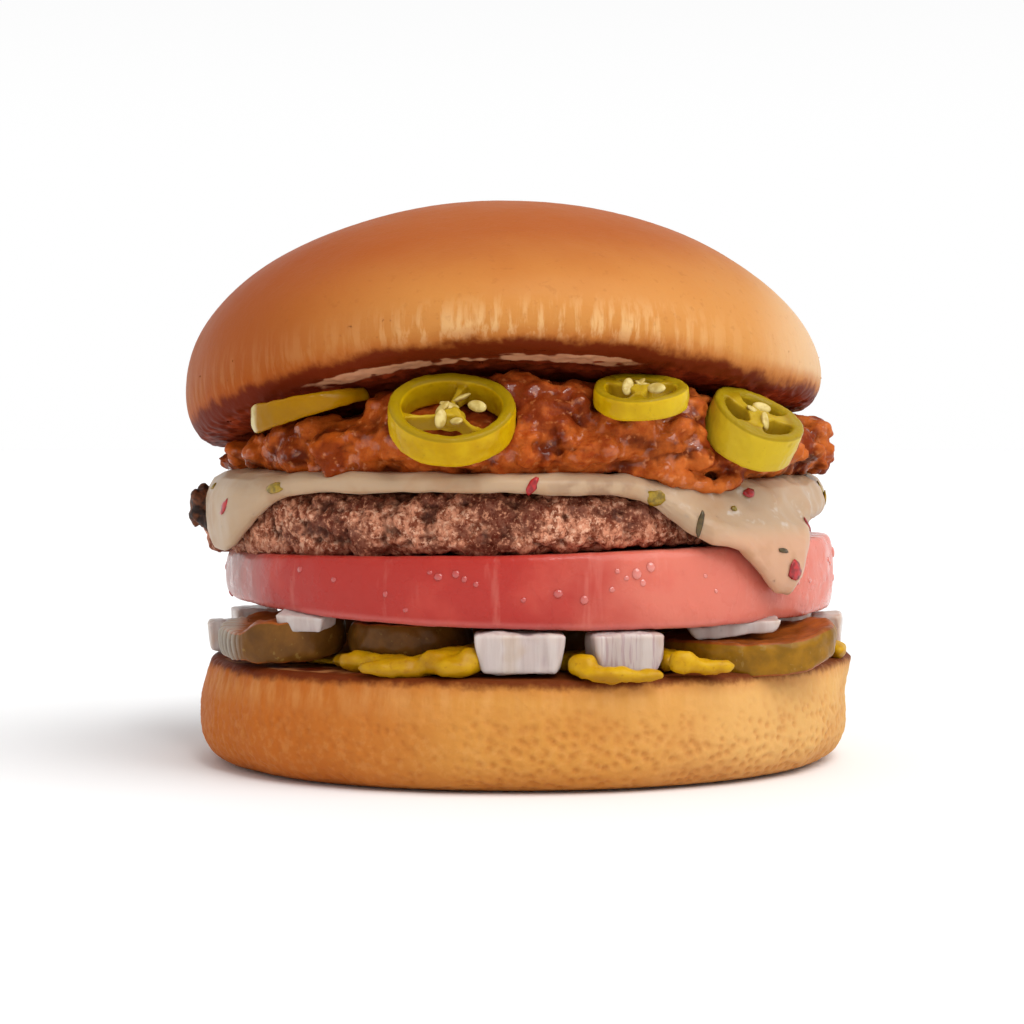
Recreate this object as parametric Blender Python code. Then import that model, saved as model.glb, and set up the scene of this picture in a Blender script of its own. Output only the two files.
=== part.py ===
"""A cheeseburger with chili and pepper rings, built as its real layers: heel bun, mustard, pickles, onion,
tomato, one beef patty, melted cheese, chili, pepper rings and crown bun.

All sizes are millimetres, and node() turns each finished mesh into metres. X points right, Y away from the
shown side and Z up. Angles are degrees about Z from X, so the shown side is at 270.
"""

from math import atan2, cos, degrees, exp, hypot, pi, radians, sin, tau

import bmesh
import bpy
from mathutils import Euler, Matrix, Vector, noise

MM = 0.001
GAP = 0.3  # clearance left between pieces that touch

# Driving dimensions of the stack, from the table upwards
HEEL_RADIUS = 51.0
HEEL_FOOT = 45.0  # radius of the flat base
HEEL_HEIGHT = 16.5
MUSTARD_RADIUS = 43.5
MUSTARD_THICKNESS = 1.6
TOMATO_RADIUS = 48.0
TOMATO_OFFSET = 0.9  # the slice sits a little to the right
PATTY_RADIUS = 45.4
PATTY_OFFSET = -1.0
PATTY_TOP = 42.4
CHEESE_THICKNESS = 2.5
CHEESE_CORNER = 1.6  # bend radius over the patty's edge
CHILI_RADIUS = 45.9
SETTLE = 0.02  # how much the upper layers fall away towards the back, per millimetre

# The crown bun, in its own frame: the cut face is at height 0
CROWN_RADIUS = 50.4
CROWN_CUT_RADIUS = 46.5
CROWN_TUCK = 7.0  # height of the widest ring above the cut face
CROWN_RISE = 29.1  # height of the dome above the widest ring
CROWN_PLACE = Vector((-2.5, 0.0, 51.6))
CROWN_TILT = Euler((radians(-3.5), radians(-3.5), 0.0))
CROWN_ARCH = 8.0  # how far the front edge is lifted by the filling
CROWN_ARCH_AT = 264.0
CROWN_ARCH_WIDTH = 45.0
CROWN_SLUMP = (0.022, 0.045, 0.05)  # share of the height that the dome loses in the middle and to the right


# Shared tools

def hill(angle, centre, width):
    """A smooth hill of height 1 at an angle, which fades over width degrees on each side."""
    away = (angle - centre + 180) % 360 - 180
    return exp(-((away / width) ** 2))


def hills(angle, rows):
    """The sum of hills, each given as centre, width and height."""
    return sum(height * hill(angle, centre, width) for centre, width, height in rows)


def waves(angle, rows):
    """The sum of waves round the stack, each given as count, phase in degrees and height."""
    return sum(height * sin(radians(count * angle + phase)) for count, phase, height in rows)


def eased(value):
    """Smooth step from 0 to 1."""
    share = min(max(value, 0.0), 1.0)
    return share * share * (3 - 2 * share)


def angle_of(x, y):
    return degrees(atan2(y, x)) % 360


def lumps(point, size):
    """Rounded lumps about size across, from 1 in the middle of a lump to 0 in the cracks."""
    nearest = noise.voronoi(Vector(point) / size)[0][0]
    return max(0.0, 1.0 - nearest**2 * 1.6)


def rough(point, size):
    """Soft unevenness from -1 to 1, about size across."""
    return noise.noise(Vector(point) / size)


def arc(centre, radii, start, end, steps):
    """Points along an elliptical arc in a profile, from start to end in degrees."""
    turns = [radians(start + (end - start) * step / steps) for step in range(steps + 1)]
    return [(centre[0] + radii[0] * cos(turn), centre[1] + radii[1] * sin(turn)) for turn in turns]


def turned(profile, segments, closed=False, sweep=tau):
    """A profile of (radius, height) points spun about Z. A closed profile makes a ring, or with a sweep
    of less than a full turn a piece of one."""
    bm = bmesh.new()
    points = [bm.verts.new((radius, 0, height)) for radius, height in profile]
    ends = points[1:] + points[:1] if closed else points[1:]
    edges = [bm.edges.new(pair) for pair in zip(points, ends)]
    whole = sweep == tau
    bmesh.ops.spin(
        bm,
        geom=points + edges,
        cent=(0, 0, 0),
        axis=(0, 0, 1),
        angle=sweep,
        steps=segments,
        use_merge=whole,
    )
    bmesh.ops.remove_doubles(bm, verts=bm.verts, dist=1e-4)
    if not whole:
        bmesh.ops.holes_fill(bm, edges=[edge for edge in bm.edges if edge.is_boundary])
    bmesh.ops.recalc_face_normals(bm, faces=bm.faces)
    return bm


def reshaped(bm, place):
    """Moves every vertex to where place(co) says."""
    for vert in bm.verts:
        vert.co = place(vert.co.copy())
    return bm


def material(name, colour, roughness):
    made = bpy.data.materials.new(name)
    made.use_nodes = True
    shader = made.node_tree.nodes["Principled BSDF"]
    shader.inputs["Base Color"].default_value = (*colour, 1.0)
    shader.inputs["Roughness"].default_value = roughness
    shader.inputs["Metallic"].default_value = 0.0
    return made


def mesh_of(bm, name):
    """Turns the bmesh into a mesh in metres, with faces pointing outwards."""
    bmesh.ops.recalc_face_normals(bm, faces=bm.faces)
    bm.transform(Matrix.Scale(MM, 4))
    mesh = bpy.data.meshes.new(name)
    bm.to_mesh(mesh)
    bm.free()
    mesh.shade_smooth()
    return mesh


def node(name, bm, finish, place=(0, 0, 0), turn=(0, 0, 0), parent=None):
    """Adds the bmesh as a named object. Place is in millimetres and turn in degrees."""
    obj = bpy.data.objects.new(name, mesh_of(bm, name))
    bpy.context.scene.collection.objects.link(obj)
    obj.data.materials.append(finish)
    obj.location = Vector(place) * MM
    obj.rotation_euler = Euler([radians(value) for value in turn])
    obj.parent = parent
    return obj


def keep_largest(obj):
    """Drops the loose scraps that a Boolean leaves beside the main body."""
    bm = bmesh.new()
    bm.from_mesh(obj.data)
    bmesh.ops.remove_doubles(bm, verts=bm.verts, dist=0.005 * MM)
    bodies, seen = [], set()
    for start in bm.verts:
        if start in seen:
            continue
        body, edge_of_body = {start}, [start]
        while edge_of_body:
            vert = edge_of_body.pop()
            for edge in vert.link_edges:
                other = edge.other_vert(vert)
                if other not in body:
                    body.add(other)
                    edge_of_body.append(other)
        seen |= body
        bodies.append(body)
    largest = max(bodies, key=len)
    bmesh.ops.delete(bm, geom=[vert for vert in bm.verts if vert not in largest], context="VERTS")
    bm.to_mesh(obj.data)
    bm.free()


def boolean_applied(obj, others, operation, solver="EXACT"):
    """Joins the other objects to obj, or cuts them from it, and removes them."""
    group = bpy.data.collections.new(obj.name + "_operands")
    bpy.context.scene.collection.children.link(group)
    for other in others:
        for owner in list(other.users_collection):
            owner.objects.unlink(other)
        group.objects.link(other)
    modifier = obj.modifiers.new("boolean", "BOOLEAN")
    modifier.operation = operation
    modifier.operand_type = "COLLECTION"
    modifier.collection = group
    modifier.solver = solver
    bpy.context.view_layer.update()
    graph = bpy.context.evaluated_depsgraph_get()
    made = bpy.data.meshes.new_from_object(obj.evaluated_get(graph))
    obj.modifiers.clear()
    obj.data = made
    for other in list(group.objects):
        bpy.data.objects.remove(other)
    bpy.data.collections.remove(group)
    keep_largest(obj)


# Heel bun: soft bread with a browned side, cut flat across the top

HEEL_WAVES = [(2, 40, 0.005), (3, 110, 0.004), (5, 20, 0.003)]
HEEL_LIP = [(2, 15, 2.1), (182, 20, -1.0)]  # the cut edge flares out on the right and draws in on the left
HEEL_WAIST = (0, 18, -0.7)  # angle, width and depth of the hollow below that flare
HEEL_WAIST_HEIGHT = 10.5


def heel_profile():
    foot = arc((HEEL_FOOT, 6.5), (HEEL_RADIUS - HEEL_FOOT, 6.5), -90, 0, 4)
    side = [(HEEL_RADIUS - 0.2, 10.0), (HEEL_RADIUS - 0.8, 13.5)]
    rim = [(HEEL_RADIUS - 1.2, 15.9), (HEEL_RADIUS - 1.9, HEEL_HEIGHT)]
    return [(0, 0)] + foot + side + rim + [(0, HEEL_HEIGHT)]


def heel_shape(co):
    angle, radius = angle_of(co.x, co.y), hypot(co.x, co.y)
    upper = eased((co.z - 10) / 6) * eased((radius - 35) / 12)
    middle = (1 - eased(abs(co.z - HEEL_WAIST_HEIGHT) / 6)) * eased((radius - 35) / 12)
    grown = radius * (1 + waves(angle, HEEL_WAVES))
    grown += upper * hills(angle, HEEL_LIP) + middle * hills(angle, [HEEL_WAIST])
    if 0 < co.z < HEEL_HEIGHT:
        grown += 0.35 * rough(co, 7)
    return Vector((grown * cos(radians(angle)), grown * sin(radians(angle)), co.z))


def make_heel(finish):
    return node("bottom_bun", reshaped(turned(heel_profile(), 52), heel_shape), finish)


# Pickle chips and diced onion, which lie between the heel and the tomato slice

# Each chip: x, y, underside, half length, half width, thickness, then turns about X, Y and Z, and crinkles
PICKLES = [
    (-35.6, -24.6, 18.3, 10.6, 8.4, 4.0, 9.0, 3.0, -42.0, True),
    (-16.4, -30.6, 18.7, 9.2, 9.2, 4.5, 0.0, 0.0, 0.0, False),
    (7.5, -22.6, 18.6, 9.2, 9.2, 3.8, 0.0, 0.0, 0.0, False),
    (33.2, -27.0, 17.75, 13.5, 10.5, 3.8, 4.0, -3.0, 0.0, False),
    (28.5, 25.5, 17.8, 12.6, 12.6, 4.2, 0.0, 0.0, 0.0, True),
    (1.5, 32.5, 17.8, 11.8, 11.8, 4.1, 0.0, 0.0, 0.0, False),
    (-27.0, 24.5, 17.8, 12.4, 12.4, 4.6, 0.0, 0.0, 0.0, True),
]
CHIP_SEGMENTS = 20
CRINKLE = 0.55  # depth of the wavy cut
CRINKLE_PITCH = 4.2

# Each diced piece: x, y, underside, width, depth, height, turn about Z, pickle it lies on
ONIONS = [
    (-0.5, -44.4, 16.9, 12.0, 7.6, 5.8, 0, None),
    (14.3, -42.6, 16.9, 9.8, 7.4, 5.7, 14, None),
    (-31.2, -30.6, 22.3, 7.8, 4.6, 1.5, -30, 0),
    (31.0, -30.0, 21.6, 12.5, 4.8, 1.1, 4, 3),
    (-44.6, -3.4, 16.9, 9.0, 7.6, 4.6, 8, None),
    (48.1, -1.8, 16.9, 4.8, 8.6, 5.7, -6, None),
    (42.6, 10.2, 17.8, 7.6, 7.2, 4.4, 22, None),
    (15.5, 43.6, 17.8, 8.6, 6.6, 4.4, -18, None),
    (-13.6, 44.0, 17.8, 9.2, 6.4, 4.6, 16, None),
    (-43.6, 10.6, 17.8, 6.8, 8.8, 4.8, 12, None),
]


def chip_profile():
    """Half section of a pickle chip in shares of its radius and thickness."""
    return [(0, 0), (0.95, 0), (1, 0.2), (1, 0.8), (0.94, 1), (0.6, 0.93), (0, 0.85)]


def chip_place(long_half, wide_half, thickness, crinkled):
    def place(co):
        x, y = co.x * long_half, co.y * wide_half
        z = co.z * thickness
        if crinkled:
            z += CRINKLE * (0.5 + 0.5 * sin(tau * (x + 0.4 * y) / CRINKLE_PITCH))
        return Vector((x, y, z))

    return place


def chip_top(row):
    """Height of a chip's top a little way in from its rim, above its underside."""
    return 0.95 * row[5] + (CRINKLE if row[9] else 0)


def make_pickles(finish):
    made = []
    for number, row in enumerate(PICKLES):
        x, y, under, long_half, wide_half, thickness, turn_x, turn_y, turn_z, crinkled = row
        chip = turned(chip_profile(), CHIP_SEGMENTS + (14 if crinkled else 0))
        reshaped(chip, chip_place(long_half, wide_half, thickness, crinkled))
        made.append(
            node(f"pickle_{number + 1}", chip, finish, (x, y, under), (turn_x, turn_y, turn_z))
        )
    return made


def diced(width, depth, height, seed):
    """A diced piece of onion: a few thick curved layers cut square, wider at the top than at the foot."""
    bm = bmesh.new()
    bmesh.ops.create_cube(bm, size=1)
    bmesh.ops.subdivide_edges(
        bm,
        edges=[edge for edge in bm.edges if abs((edge.verts[0].co - edge.verts[1].co).x) > 0.5],
        cuts=2,
        use_grid_fill=True,
    )
    bmesh.ops.bevel(
        bm,
        geom=[edge for edge in bm.edges if edge.calc_face_angle() > 1],
        offset=0.07,
        segments=1,
        affect="EDGES",
        profile=0.5,
        material=-1,
    )

    def place(co):
        taper = 1 + 0.14 * co.z
        bow = 0.16 * (co.x**2 - 0.12)
        x = co.x * width * taper
        y = (co.y - bow) * depth
        z = (co.z + 0.5) * height
        x += 0.3 * rough((co.x * 2, co.y * 2, seed * 3.1), 1)
        return Vector((x, y, z))

    return reshaped(bm, place)


def make_onions(finish, pickles):
    for number, row in enumerate(ONIONS):
        x, y, under, width, depth, height, turn, base = row
        parent = pickles[base] if base is not None else None
        place, turn_z = Vector((x, y, under)), (0, 0, turn)
        if parent is not None:
            chip = PICKLES[base]
            across = Matrix.Rotation(radians(-chip[8]), 3, "Z") @ Vector((x - chip[0], y - chip[1], 0))
            place = across + Vector((0, 0, chip_top(chip) + GAP))
            turn_z = (0, 0, turn - chip[8])
        piece = diced(width, depth, height, number)
        node(f"onion_{number + 1}", piece, finish, place, turn_z, parent)


# Mustard: a thick drizzle spread on the heel, which swells up between the pieces that sit in it

MUSTARD_LOBES = [
    (239, 7, 3.0), (255, 10, 4.4), (282, 8, 4.9), (300, 6, 4.2), (1, 9, 6.2), (35, 10, 3.0),
    (75, 8, 4.4), (112, 10, 2.0), (140, 9, 4.8), (205, 14, -3.0), (170, 8, 2.6), (322, 12, -3.0),
]
MUSTARD_SWELLS = [
    (241, 8, 1.2), (260, 7, 2.8), (282, 6, 1.5), (300, 6, 1.6), (1, 9, 0.4), (62, 8, 1.6),
    (140, 10, 1.8), (100, 7, 1.2),
]


def mustard_place(co):
    angle, share = angle_of(co.x, co.y), hypot(co.x, co.y)
    reach = MUSTARD_RADIUS + hills(angle, MUSTARD_LOBES) + waves(angle, [(9, 30, 0.5)])
    swell = hills(angle, MUSTARD_SWELLS) * eased((share - 0.55) / 0.35)
    thickness = MUSTARD_THICKNESS + swell
    radius = reach * share
    z = HEEL_HEIGHT + GAP + co.z * thickness
    return Vector((radius * cos(radians(angle)), radius * sin(radians(angle)), z))


def mustard_profile():
    return [(0, 0), (0.97, 0), (1, 0.4), (0.98, 0.85), (0.93, 1), (0.84, 1), (0.6, 1), (0, 1)]


def chip_seat(number, row, finish):
    """The room that a pickle chip takes in the mustard."""
    x, y, under, long_half, wide_half, thickness, turn_x, turn_y, turn_z, crinkled = row
    top = thickness + CRINKLE + 1
    bm = turned([(0, -1.3 * GAP), (1, -1.3 * GAP), (1, top), (0, top)], 16)
    widths = (long_half + 0.8, wide_half + 0.8, 1)
    bmesh.ops.scale(bm, vec=widths, verts=bm.verts)
    return node(f"chip_seat_{number}", bm, finish, (x, y, under), (turn_x, turn_y, turn_z))


def onion_seat(number, row, finish):
    """The room that a piece of onion takes in the mustard."""
    x, y, under, width, depth, height, turn, base = row
    bm = bmesh.new()
    bmesh.ops.create_cube(bm, size=1)
    bmesh.ops.translate(bm, vec=(0, 0, 0.5), verts=bm.verts)
    bmesh.ops.scale(bm, vec=(width * 1.07 + 1.2, depth * 1.07 + 0.9, height + 1), verts=bm.verts)
    bmesh.ops.translate(bm, vec=(0, 0, -1.3 * GAP), verts=bm.verts)
    return node(f"onion_seat_{number}", bm, finish, (x, y, under), (0, 0, turn))


def make_mustard(finish):
    obj = node("mustard", reshaped(turned(mustard_profile(), 52), mustard_place), finish)
    seats = [chip_seat(number, row, finish) for number, row in enumerate(PICKLES)]
    seats += [onion_seat(number, row, finish) for number, row in enumerate(ONIONS) if row[-1] is None]
    boolean_applied(obj, seats, "DIFFERENCE")
    return obj


# Tomato: one thick slice across a large fruit, with its skin round the edge

TOMATO_WAVES = [(3, 60, 0.006), (5, 10, 0.005), (7, 200, 0.003)]


def tomato_under(x, y):
    return 23.1 - 0.022 * x + 0.0007 * x * x


def tomato_over(x, y):
    return 33.2 + 0.024 * x + 0.0003 * x * x - SETTLE * 0.5 * y


def tomato_profile():
    side = arc((0.965, 0.5), (0.035, 0.62), -52, 52, 4)
    return [(0, 0), (0.55, 0), (0.965, 0)] + side + [(0.965, 1), (0.55, 1), (0, 1)]


def tomato_place(co):
    angle, share = angle_of(co.x, co.y), hypot(co.x, co.y)
    radius = TOMATO_RADIUS * share * (1 + waves(angle, TOMATO_WAVES))
    x = TOMATO_OFFSET + radius * cos(radians(angle))
    y = radius * sin(radians(angle))
    low, high = tomato_under(x, y), tomato_over(x, y)
    return Vector((x, y, low + (high - low) * min(max(co.z, 0), 1)))


def make_tomato(finish):
    return node("tomato", reshaped(turned(tomato_profile(), 48), tomato_place), finish)


# Patty: coarse ground beef with a craggy edge, flat where it lies on the griddle

PATTY_TIP = (180, 3.5, 5.4)  # a crisp scrap that sticks out on the left
PATTY_LOBES = [(20, 12, 0.7), (95, 16, 0.9), (140, 9, -0.9), (240, 14, 0.5), (300, 10, -0.6)]
PATTY_DROOP = 1.5  # how far the top falls at the front right
PATTY_CRAG = 1.0


def patty_reach(angle):
    return PATTY_RADIUS + hills(angle, PATTY_LOBES) + waves(angle, [(4, 50, 0.35), (7, 10, 0.3)])


def patty_under(x, y):
    return tomato_over(x, y) + GAP


def patty_over(x, y):
    fall = PATTY_DROOP * hill(angle_of(x, y), 320, 25) * (hypot(x, y) / PATTY_RADIUS) ** 3
    return PATTY_TOP - fall - SETTLE * max(y, 0.0) * 0.5


def patty_profile():
    side = [(0.96, 0), (0.99, 0.14), (1, 0.34), (1, 0.55), (0.99, 0.76), (0.968, 0.93)]
    return [(0, 0), (0.6, 0)] + side + [(0.93, 1), (0.6, 1), (0, 1)]


def patty_place(co):
    angle, share = angle_of(co.x, co.y), hypot(co.x, co.y)
    tip = hills(angle, [PATTY_TIP]) * (1 - eased((co.z - 0.55) / 0.25))
    radius = (patty_reach(angle) + tip) * share
    x = PATTY_OFFSET + radius * cos(radians(angle))
    y = radius * sin(radians(angle))
    low, high = patty_under(x, y), patty_over(x, y)
    z = low + (high - low) * co.z
    rim = eased((share - 0.86) / 0.1)
    spot = (x, y, z)
    crag = PATTY_CRAG * (lumps(spot, 5.5) - 0.62) + 0.5 * rough(spot, 2.5)
    x += rim * crag * cos(radians(angle))
    y += rim * crag * sin(radians(angle))
    if 0.05 < co.z < 0.95:
        z += rim * 0.5 * rough((x, y, z + 40), 4)
    return Vector((x, y, z))


def make_patty(finish):
    return node("patty", reshaped(turned(patty_profile(), 68), patty_place), finish)


# Cheese: one melted slice that lies on the patty and hangs over its edge in lobes

# How far it hangs below the bend: centre, width, length
CHEESE_HANGS = [
    (204, 12.5, 8.8), (191, 8, 4.0), (303.5, 5.5, 6.6), (319.3, 8, 15.0), (336, 8, 3.5),
    (350, 9, 3.1), (6, 12, 2.9),
    (62, 15, 10.0), (36, 9, 2.5), (132, 13, 8.0), (100, 10, 1.5), (178, 6, -2.0),
]
CHEESE_EDGE = -1.3  # where nothing hangs, the slice ends part of the way round the bend
CHEESE_SWELLS = [(202, 14, 0.5), (322, 20, 0.7), (62, 15, 0.5)]
CHEESE_SEGMENTS = 64
CHEESE_ROOM = 0.9  # from the patty's edge to the part that hangs down
CHEESE_BEND = CHEESE_CORNER * pi / 2  # length of the slice's inner face round the bend
CHEESE_STEP_BY = 4.0  # a long lobe has reached the tomato's edge this far below the bend


def cheese_wall(angle):
    """Inner radius of the part that hangs down, about the patty's own middle."""
    return patty_reach(angle) + CHEESE_ROOM


def cheese_hang(angle):
    return CHEESE_EDGE + hills(angle, CHEESE_HANGS)


def cheese_step(angle):
    """How far a long lobe moves outwards to clear the tomato below the patty."""
    tomato = TOMATO_RADIUS * (1 + waves(angle, TOMATO_WAVES))
    tomato += (TOMATO_OFFSET - PATTY_OFFSET) * cos(radians(angle))
    step = max(tomato + 2.5 * GAP - cheese_wall(angle), 0.0)
    return step * eased((cheese_hang(angle) - 2.6) / 1.4)


def cheese_thickness(angle):
    return CHEESE_THICKNESS + hills(angle, CHEESE_SWELLS)


def cheese_path(angle, share):
    """Radius, drop and slope of the slice's inner face. The share is 0 to 1 on the flat part, then 1.5 at
    the end of the bend and 2 at the slice's edge."""
    flat = cheese_wall(angle) - CHEESE_CORNER
    if share <= 1:
        return flat * share, 0.0, 0.0
    whole = CHEESE_BEND + cheese_hang(angle)
    bent = min(CHEESE_BEND, 0.6 * whole)
    if share <= 1.5:
        turn = bent * (share - 1) / 0.5 / CHEESE_CORNER
        return flat + CHEESE_CORNER * sin(turn), CHEESE_CORNER * (1 - cos(turn)), turn
    along = bent + (whole - bent) * (share - 1.5) / 0.5
    if along <= CHEESE_BEND:
        turn = along / CHEESE_CORNER
        return flat + CHEESE_CORNER * sin(turn), CHEESE_CORNER * (1 - cos(turn)), turn
    down = along - CHEESE_BEND
    moved = cheese_step(angle) * min(down / CHEESE_STEP_BY, 1.0)
    return flat + CHEESE_CORNER + moved, CHEESE_CORNER + down, pi / 2


def cheese_under(x, y):
    return patty_over(x, y) + GAP


def cheese_over(x, y):
    return cheese_under(x, y) + cheese_thickness(angle_of(x, y))


def cheese_profile():
    """Half section as (share along the path, share of the thickness), out along the top and back below."""
    along = [0.6, 1.0, 1.25, 1.5, 1.64, 1.82, 2.0]
    return [(0, 1)] + [(a, 1) for a in along] + [(2.01, 0.5)] + [(a, 0) for a in reversed(along)] + [(0, 0)]


def cheese_place(co):
    angle, share = angle_of(co.x, co.y), hypot(co.x, co.y)
    radius, drop, turn = cheese_path(angle, min(share, 2.0))
    thickness = cheese_thickness(angle) * (1 - 0.15 * max(share - 1, 0))
    if share > 1:
        thickness *= 1 + 0.1 * rough((cos(radians(angle)) * 4, sin(radians(angle)) * 4, share * 2), 1)
    out = co.z * thickness
    if 1.9 < share < 2.005:
        out = (0.12 + 0.76 * co.z) * thickness
    lip = 0.3 * thickness if share > 2.005 else 0.0
    radius += out * sin(turn) + lip * cos(turn)
    drop += lip * sin(turn)
    x = PATTY_OFFSET + radius * cos(radians(angle))
    y = radius * sin(radians(angle))
    inner = min(radius, cheese_wall(angle))
    base = cheese_under(PATTY_OFFSET + inner * cos(radians(angle)), inner * sin(radians(angle)))
    return Vector((x, y, base - drop + out * cos(turn)))


def make_cheese(finish):
    bm = turned(cheese_profile(), CHEESE_SEGMENTS)
    return node("cheese", reshaped(bm, cheese_place), finish)


# Crown bun: a smooth dome whose edge curls in to the cut face, lifted at the front by the filling

def crown_matrix():
    return Matrix.Translation(CROWN_PLACE) @ CROWN_TILT.to_matrix().to_4x4()


def crown_lift(angle, radius, height):
    """How far the front edge is pushed up. The middle and the top of the dome stay where they are."""
    share = min(radius / CROWN_CUT_RADIUS, 1.0) ** 1.4
    fade = 1 - eased(height / (CROWN_TUCK + CROWN_RISE * 0.8))
    return CROWN_ARCH * hill(angle, CROWN_ARCH_AT, CROWN_ARCH_WIDTH) * share * fade


def crown_under(x, y):
    """Height of the crown's cut face above a point of the stack."""
    normal = CROWN_TILT.to_matrix() @ Vector((0, 0, 1))
    dx, dy = x - CROWN_PLACE.x, y - CROWN_PLACE.y
    plane = CROWN_PLACE.z - (normal.x * dx + normal.y * dy) / normal.z
    return plane + crown_lift(angle_of(dx, dy), hypot(dx, dy), 0)


def crown_profile():
    tuck_width = CROWN_RADIUS - CROWN_CUT_RADIUS
    curl = arc((CROWN_CUT_RADIUS, CROWN_TUCK), (tuck_width, CROWN_TUCK), -90, 0, 3)
    dome = arc((0, CROWN_TUCK), (CROWN_RADIUS, CROWN_RISE), 0, 90, 9)
    return [(0, 0), (24, 0), (38, 0)] + curl + dome[1:]


def crown_place(co):
    angle, radius = angle_of(co.x, co.y), hypot(co.x, co.y)
    grown = radius * (1 + waves(angle, [(2, 70, 0.004), (3, 20, 0.004)]))
    if co.z > 0.1:
        grown += 0.4 * rough(co, 22)
    right = co.x / CROWN_RADIUS
    middle, along, beyond = CROWN_SLUMP
    slump = co.z * (middle + along * right + beyond * max(right, 0.0) ** 2)
    grown -= 1.2 * hill(angle, 0, 50) * hill(co.z, 19, 9) * eased(radius / 30)
    z = co.z - slump + crown_lift(angle, radius, co.z)
    return Vector((grown * cos(radians(angle)), grown * sin(radians(angle)), z))


def make_crown(finish):
    bm = reshaped(turned(crown_profile(), 44), crown_place)
    turn = [degrees(value) for value in CROWN_TILT]
    return node("top_bun", bm, finish, CROWN_PLACE, turn)


# Pepper rings: cross slices of a hot yellow-green pepper, with ribs and seeds inside

# Each ring: x, y, z of its middle, outer radius, height, wall, tilt about X, tilt about Y, ribs, seeds
RINGS = [
    (-10.2, -46.4, 52.8, 8.8, 4.5, 2.1, 34, 0, 3, 5),
    (16.6, -43.6, 55.9, 6.9, 2.8, 1.8, 18, -2, 2, 3),
    (33.0, -35.0, 51.4, 7.2, 5.6, 2.0, 24, 24, 2, 1),
    (42.0, 12.0, 49.6, 7.4, 3.4, 1.9, -3, 5, 2, 2),
    (13.0, 40.6, 47.3, 7.4, 2.2, 1.8, -3.5, -3.5, 2, 0),
    (-30.0, 28.0, 46.4, 7.0, 1.8, 1.8, -3.0, -3.0, 2, 0),
]
RING_SEGMENTS = 18
RIB_WIDTH = 0.9
SEED_SIZE = (1.35, 1.0, 0.5)
HALF_RING = (-30.6, -31.4, 54.3, 9.4, 3.9, 2.1, 2, -9)  # the cut one at the front left
HALF_RING_SWEEP = (187.0, 150.0)  # start and length of its arc


def ring_profile(outer, height, wall):
    half, inner = height / 2, outer - wall
    return [
        (outer - 0.4, -half), (outer, 0), (outer - 0.4, half),
        (inner + 0.35, half), (inner, 0), (inner + 0.35, -half),
    ]


def rib(inner, height, turn):
    """A thin wall from the middle of the ring to its flesh."""
    bm = bmesh.new()
    length = inner + 0.5
    bmesh.ops.create_cube(bm, size=1)
    bmesh.ops.scale(bm, vec=(length, RIB_WIDTH, height * 0.8), verts=bm.verts)
    bmesh.ops.translate(bm, vec=(length / 2 - 0.3, 0, 0), verts=bm.verts)
    bmesh.ops.rotate(bm, matrix=Matrix.Rotation(turn, 3, "Z"), verts=bm.verts)
    return bm


def seed(inner, height, number):
    """A flat pepper seed that stands half out of the ribs near the middle."""
    bm = bmesh.new()
    bmesh.ops.create_uvsphere(bm, u_segments=6, v_segments=4, radius=1)
    bmesh.ops.scale(bm, vec=SEED_SIZE, verts=bm.verts)
    lean = Euler((0.5 * sin(number * 2.1), 0.4 * cos(number * 1.7), number * 1.9)).to_matrix()
    bmesh.ops.rotate(bm, matrix=lean, verts=bm.verts)
    turn = number * tau * 0.29 + 0.4
    spot = Vector((cos(turn), sin(turn), 0)) * (inner * (0.16 + 0.07 * (number % 3)))
    bmesh.ops.translate(bm, vec=spot + Vector((0, 0, height * 0.36)), verts=bm.verts)
    return bm


def make_rings(finish):
    made = []
    for number, row in enumerate(RINGS):
        x, y, z, outer, height, wall, tilt_x, tilt_y, ribs, seeds = row
        ring = node(
            f"pepper_{number + 1}",
            turned(ring_profile(outer, height, wall), RING_SEGMENTS, closed=True),
            finish,
            (x, y, z),
            (tilt_x, tilt_y, 0),
        )
        inner = outer - wall
        bits = [rib(inner, height, tau * (turn + 0.31) / ribs) for turn in range(ribs)]
        bits += [seed(inner, height, turn) for turn in range(seeds)]
        turn = (tilt_x, tilt_y, 0)
        inside = [node(f"bit_{n}", bit, finish, (x, y, z), turn) for n, bit in enumerate(bits)]
        boolean_applied(ring, inside, "UNION")
        made.append(ring)
    made.append(make_half_ring(finish))
    return made


def make_half_ring(finish):
    x, y, z, outer, height, wall, tilt_x, tilt_y = HALF_RING
    start, length = HALF_RING_SWEEP
    bm = turned(ring_profile(outer, height, wall), 12, closed=True, sweep=radians(length))
    bmesh.ops.rotate(bm, matrix=Matrix.Rotation(radians(start), 3, "Z"), verts=bm.verts)
    return node("pepper_7", bm, finish, (x, y, z), (tilt_x, tilt_y, 0))


# Chili: minced beef in a thick sauce, heaped on the cheese and squeezed out at the front

CHILI_LOBES = [
    (352, 5, 3.3), (312, 20, 2.4), (225, 14, 0.8), (265, 14, 1.0), (30, 10, 1.2),
    (75, 9, 1.2), (118, 12, 0.8), (150, 8, 1.4),
]
CHILI_LUMP = 1.7
CHILI_FACE_DROP = 0.8  # the top falls away towards the rim


def chili_under(x, y):
    return cheese_over(x, y) + GAP


def chili_over(x, y):
    return crown_under(x, y) - GAP


def chili_profile():
    side = [(0.93, 0), (0.98, 0.1), (1, 0.26), (0.985, 0.45), (0.955, 0.64), (0.915, 0.82)]
    return [(0, 0), (0.6, 0)] + side + [(0.86, 0.95), (0.78, 1), (0.6, 1), (0, 1)]


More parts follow.
